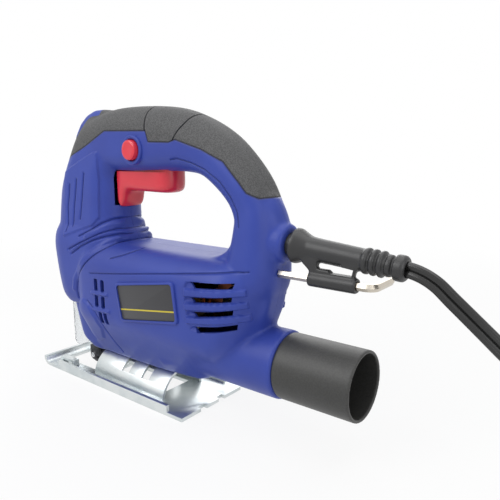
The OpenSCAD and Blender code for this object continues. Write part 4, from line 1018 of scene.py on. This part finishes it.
openingSet = {
    "rearSlots": [[(26.5, 90.5), (51.4, 92.7), (52.2, 96.2), (23, 94.2)],
                  [(26.5, 81.8), (51, 85.2), (51.5, 88.3), (23.5, 85)],
                  [(28, 73.1), (51.2, 77.1), (51.7, 80.3), (25, 76.3)],
                  [(29, 63.6), (52.2, 67.8), (53, 71.4), (26, 67.2)]],
    # two columns of front vents: where each starts and how far its lowest vent steps back
    "ventColumns": [(-69.6, 3.4), (-62.2, 1.4)], "ventLevels": (74.2, 62.4, 50.6), "vent": (4, 8.8, 1.2),
    "bladeChamber": (-150, -104, -9.5, 9.5, 0, 60),
    "hoseSocket": ((58.9, 0, 45), (76, 0, 45), 18.6),
    "saddleSeat": ((-160, 0, 0), (80, 0, 0), 20),
    "triggerSlot": (-70.5, -12.9, -11.4, 11.4, 132.9, 167.5),
    "shieldSlot": (-134.2, -131.8, -8.3, 8.3, 40, 85),
    "cordBore": (-20, 10, 6.8),
    "through": 60,
}


def openingCutters():
    s = openingSet
    through = s["through"]
    cuts = [prism(outline, -through, through) for outline in s["rearSlots"]]
    width, height, corner = s["vent"]
    for column, shift in s["ventColumns"]:
        for z in s["ventLevels"]:
            x = column + (shift if z == s["ventLevels"][-1] else 0)
            cuts.append(box(x, x + width, -through, through, z, z + height, corner))
    cuts.append(box(*s["bladeChamber"]))
    cuts.append(rod(*s["hoseSocket"], around=64))
    cuts.append(rod(*s["saddleSeat"], around=96))
    cuts.append(box(*s["triggerSlot"]))
    cuts.append(box(*s["shieldSlot"]))
    face, ahead = bossAxis()
    inner, outer, radius = s["cordBore"]
    cuts.append(rod(face + ahead * inner, face + ahead * outer, radius))
    return cuts


gripSet = {
    "edge": [(-150, 152), (-118, 164), (-96, 172), (-67, 184.5), (-25, 183.5), (-22.5, 176.5), (-4, 176),
             (2, 177.5), (22.5, 171.5), (38, 164.5), (49, 153), (54, 147), (60, 144), (90, 147), (90, 230),
             (-150, 230)],
    "edgeSeen": 14,  # so many of the points lie where the grip meets the shell
    "spineGap": (-150, -86, -8, 8, 150, 230),
    "joints": [[(-25.4, 180), (-24.2, 180), (-31, 210), (-32.2, 210)],
               [(-4.6, 172), (-3.4, 172), (6.5, 187), (10, 198), (9, 198), (5.4, 187.3)]],
}


def makeCasing():
    # the hollow shell and the grips that are let into it, both halves in one
    s = casingSet
    outer = detailed(remeshed(joined(*casingForm(0), bossForm(), ridgeForm()), *s["outerSkin"]))
    inner = remeshed(joined(*casingForm(s["wall"], 6)), *s["hollowSkin"])
    region = cutFrom(prism(gripSet["edge"], -60, 60), box(*gripSet["spineGap"]))
    core = remeshed(joined(*casingForm(s["gripDepth"], 5)), *s["gripSkin"])
    shell = outer.copy()
    grip = cutFrom(combined(outer, region.copy(), "INTERSECT"), core.copy())
    shell = cutFrom(shell, cutFrom(region, core), inner, *openingCutters())
    return shell, grip


shell, grip = makeCasing()
print("casing formed:", len(shell.faces), "faces; grips:", len(grip.faces))


def seamBetween(place):
    # how far a place is from the nearest seam or crease, in millimetres
    x, z = place.x, place.z
    nearest = min(toLine(x, z, gripSet["edge"][:gripSet["edgeSeen"]]), 9)
    for points, _, rise, reach in marks:
        if rise < 0 and within(x, z, reach):
            nearest = min(nearest, toLine(x, z, points) + 0.25)
    return nearest


def seamedPiece(bm, node, name):
    # a piece that keeps how far each of its points lies from the seams
    piece = forNode(bm, node, name, sharp=40)
    values = [seamBetween(v.co / mm) for v in piece.data.vertices]
    layer = piece.data.attributes.new("seam", "FLOAT", "POINT")
    layer.data.foreach_set("value", values)


def shrunk(corners, by):
    # the same four corners, drawn in
    ways = [(1, -1), (-1, -1), (-1, 1), (1, 1)]
    return [(x + by * a, z + by * b) for (x, z), (a, b) in zip(corners, ways)]


def slab(corners, y0, y1, cornerRound, edgeRound=0):
    # a flat plate with rounded corners; its face at y0 has rounded edges
    bm = prism(corners, y0, y1)
    bevelled(bm, [e for e in bm.edges if isAlongY(e)], cornerRound * mm, 6)
    if edgeRound:
        face = max(bm.faces, key=lambda f: (abs(f.calc_center_median().y - y0 * mm) < 1e-5) * f.calc_area())
        bevelled(bm, list(face.edges), edgeRound * mm, 3)
    return bm


plateSet = {
    "corners": [(-44.8, 83.8), (11.2, 92.6), (14.6, 66.2), (-40, 57.6)], "round": 3, "edge": 0.7,
    "frame": 1.6, "frameFace": 33.5, "frameFoot": 30, "face": 32.7, "seat": 31.3,
    "clear": 0.05, "softEdge": 0.25,
}


def makePlate(side, node, name):
    s = plateSet
    corners = shrunk(s["corners"], s["frame"] + s["clear"])
    bm = slab(corners, side * s["face"], side * s["seat"], s["round"] - 1, s["softEdge"])
    forNode(settled(bm), node, name, "label")


def framed(half, side):
    # the raised frame that the plate sits in
    s = plateSet
    frame = slab(s["corners"], side * s["frameFace"], side * s["frameFoot"], s["round"], s["edge"])
    inner = shrunk(s["corners"], s["frame"])
    seat = slab(inner, side * (s["frameFace"] + 2.5), side * s["seat"], s["round"] - 1)
    return cutFrom(combined(half, frame, "UNION"), seat)


lockSet = {
    "x": -38, "z": 171.5, "hole": 7.0, "gripHole": 9.9, "ringFoot": -16.9, "capFoot": -13.6,
    "ring": [(0, 7), (0, 9.8), (2.6, 9.8), (3.3, 9.4), (3.6, 8.5), (3.3, 7.5), (2.7, 7), (0, 7)],
    "cap": [(0, 0), (0, 8.2), (1.4, 8.2), (1.4, 6.6), (8.2, 6.6), (9, 6.3), (9.4, 5.6), (9.5, 4.8),
            (9.3, 3.5), (9.2, 0)],
}


def lockHole(radius):
    s = lockSet
    return rod((s["x"], -60, s["z"]), (s["x"], -12, s["z"]), radius)


def lockTurned(profile, foot):
    return lathe(profile, (lockSet["x"], foot, lockSet["z"]), (0, -1, 0))


def makeLockButton():
    cap = lockTurned(lockSet["cap"], lockSet["capFoot"])
    forNode(settled(cap), "lock_button", "lockButton")


screwSet = {
    "places": [(-94, 187), (10, 170), (43, 146), (-100, 146), (-91, 44), (-60, 41.5), (14, 39), (60, 90)],
    "well": 4.2, "floor": 12,
}


def halfOf(bm, side):
    gap = casingSet["seamGap"]
    across = (-100, -gap) if side < 0 else (gap, 100)
    return combined(bm.copy(), box(-200, 200, *across, -20, 260), "INTERSECT")


def makeShell(side, node, name):
    half = framed(halfOf(shell, side), side)
    if side < 0:
        half = cutFrom(half, lockHole(lockSet["hole"]))
        half = combined(half, lockTurned(lockSet["ring"], lockSet["ringFoot"]), "UNION")
    else:
        s = screwSet
        half = cutFrom(half, *[rod((x, s["floor"], z), (x, 60, z), s["well"]) for x, z in s["places"]])
    seamedPiece(half, node, name)


def makeGrip(side, node, name):
    rubber = cutFrom(halfOf(grip, side), *[prism(outline, -61, 61) for outline in gripSet["joints"]])
    if side < 0:
        rubber = cutFrom(rubber, lockHole(lockSet["gripHole"]))
    seamedPiece(rubber, node, name)


makeShell(-1, "housing_left", "casingLeft")
makeGrip(-1, "grip_left", "gripLeft")
makeShell(1, "housing_right", "casingRight")
makeGrip(1, "grip_right", "gripRight")
makePlate(-1, "name_plate", "namePlate")
makePlate(1, "rating_plate", "ratingPlate")
shell.free()
grip.free()
print("casing halves and grips placed")


triggerSet = {
    "outline": [(-69, 169), (-14, 169), (-14, 147.5), (-17, 144.2), (-57.6, 145), (-60.4, 142),
                (-61.4, 135.4), (-64, 131.9), (-67.4, 133.4), (-69, 141)],
    # circles that its view from above lies round
    "plan": [(-63.8, -4.8, 5.2), (-63.8, 4.8, 5.2), (-24, 0, 10)],
    "swell": 1.1, "voxel": 0.9, "rounds": 48, "top": 160.5,
    "shoulder": (-8.9, 157.2),  # cut back so that it passes under the lock button
}


def makeTrigger():
    s = triggerSet
    plan = bandRound(s["plan"], 64)
    column = tubeOver([[(x, y, z) for x, y in plan] for z in (120, 175)])
    bm = combined(prism(s["outline"], -12, 12), column, "INTERSECT")
    bm = remeshed(bm, s["voxel"], s["rounds"])
    bm.normal_update()
    for vert in bm.verts:
        vert.co += vert.normal * (s["swell"] * mm)
    bm = combined(bm, box(-80, 0, -20, 20, 120, s["top"]), "INTERSECT")
    side, low = s["shoulder"]
    bm = cutFrom(bm, box(-80, 0, -20, side, low, 170))
    forNode(bm, "trigger", "triggerHook", sharp=50)


keySet = {
    "across": 4, "x0": 69.4, "x1": 122.8, "side": -4, "height": 101, "bend": 5, "short": 17,
    "chamfer": 0.35, "endSize": 0.85,
}


def makeHexKey():
    # a hexagon carried along the long arm, round the bend and along the short arm
    s = keySet
    bend, end = s["bend"], s["x1"] + s["bend"]
    arm = bend + s["short"]
    stations = [(s["x0"], 0, 0, s["endSize"]), (s["x0"] + s["chamfer"], 0, 0, 1), (s["x1"], 0, 0, 1)]
    for degrees in between(10, 90, 10):
        a = math.radians(degrees)
        stations.append((s["x1"] + bend * math.sin(a), bend * (1 - math.cos(a)), degrees, 1))
    stations += [(end, arm - s["chamfer"], 90, 1), (end, arm, 90, s["endSize"])]
    corner = s["across"] / 2 / math.cos(math.radians(30))
    spots = [math.radians(60 * i) for i in range(6)]
    hexagon = [(corner * math.cos(a), corner * math.sin(a)) for a in spots]
    rings = []
    for x, y, degrees, size in stations:
        a = math.radians(degrees)
        side = Vector((-math.sin(a), math.cos(a), 0))
        centre = Vector((x, s["side"] + y, s["height"]))
        rings.append([centre + side * (w * size) + Vector((0, 0, u * size)) for w, u in hexagon])
    forNode(settled(tubeOver(rings)), "hex_key", "hexKey", "nickelSteel")


reliefSet = {
    "voxel": 0.55, "rounds": 6,
    "window": [(98, 110.6), (117, 110), (116, 105.8), (103.5, 105.8)], "windowSides": (-6.8, -1.2),
    "ringFrom": 58, "ringOver": 3, "ringShrink": 0.17, "ringReach": 12,
}


def makeRelief():
    # the moulded relief; the window in its key clip is cut through to the neck
    s = reliefSet
    bm = remeshed(cadCopy("cord_relief"), s["voxel"], s["rounds"])
    bm = cutFrom(bm, prism(s["window"], *s["windowSides"]))
    face, ahead = bossAxis()
    for vert in bm.verts:
        along = (vert.co - face * mm).dot(ahead)
        away = vert.co - face * mm - ahead * along
        # the end ring is no wider than the others
        if along > s["ringFrom"] * mm and away.length < s["ringReach"] * mm:
            share = eased(min(1, (along / mm - s["ringFrom"]) / s["ringOver"]))
            vert.co -= away * (s["ringShrink"] * share)
    forNode(bm, "cord_relief", "cordRelief", "softBlack", 60)


# node, piece, width of its broken edges in millimetres
fittings = [
    ("sole_plate", "solePlate", 0.4), ("bevel_saddle", "bevelSaddle", 0.3), ("roller_pin", "rollerPin", 0.2),
    ("chip_shield", "chipShield", 0.3), ("housing_screws", "housingScrews", 0.2),
    ("bevel_screws", "bevelScrews", 0.2), ("blade_clamp", "bladeClamp", 0.25),
    ("blade_screws", "bladeScrews", 0.2),
]
makeTrigger()
makeHexKey()
makeRelief()
softPiece("dust_adapter", "dustTube", 0.7, 3)
makeLockButton()
for node, name, width in fittings:
    edgedPiece(node, name, width)
edgedPiece("guide_roller", "guideRoller", 0.3, finish="darkSteel")
edgedPiece("roller_bracket", "rollerBracket", 0.3, finish="darkSteel")
print("fittings dressed")


for name, thing in frame["nodes"].items():
    thing.data.materials.clear()
    thing.data.materials.append(finishes[slotFinish[nodeSlot[name]]])
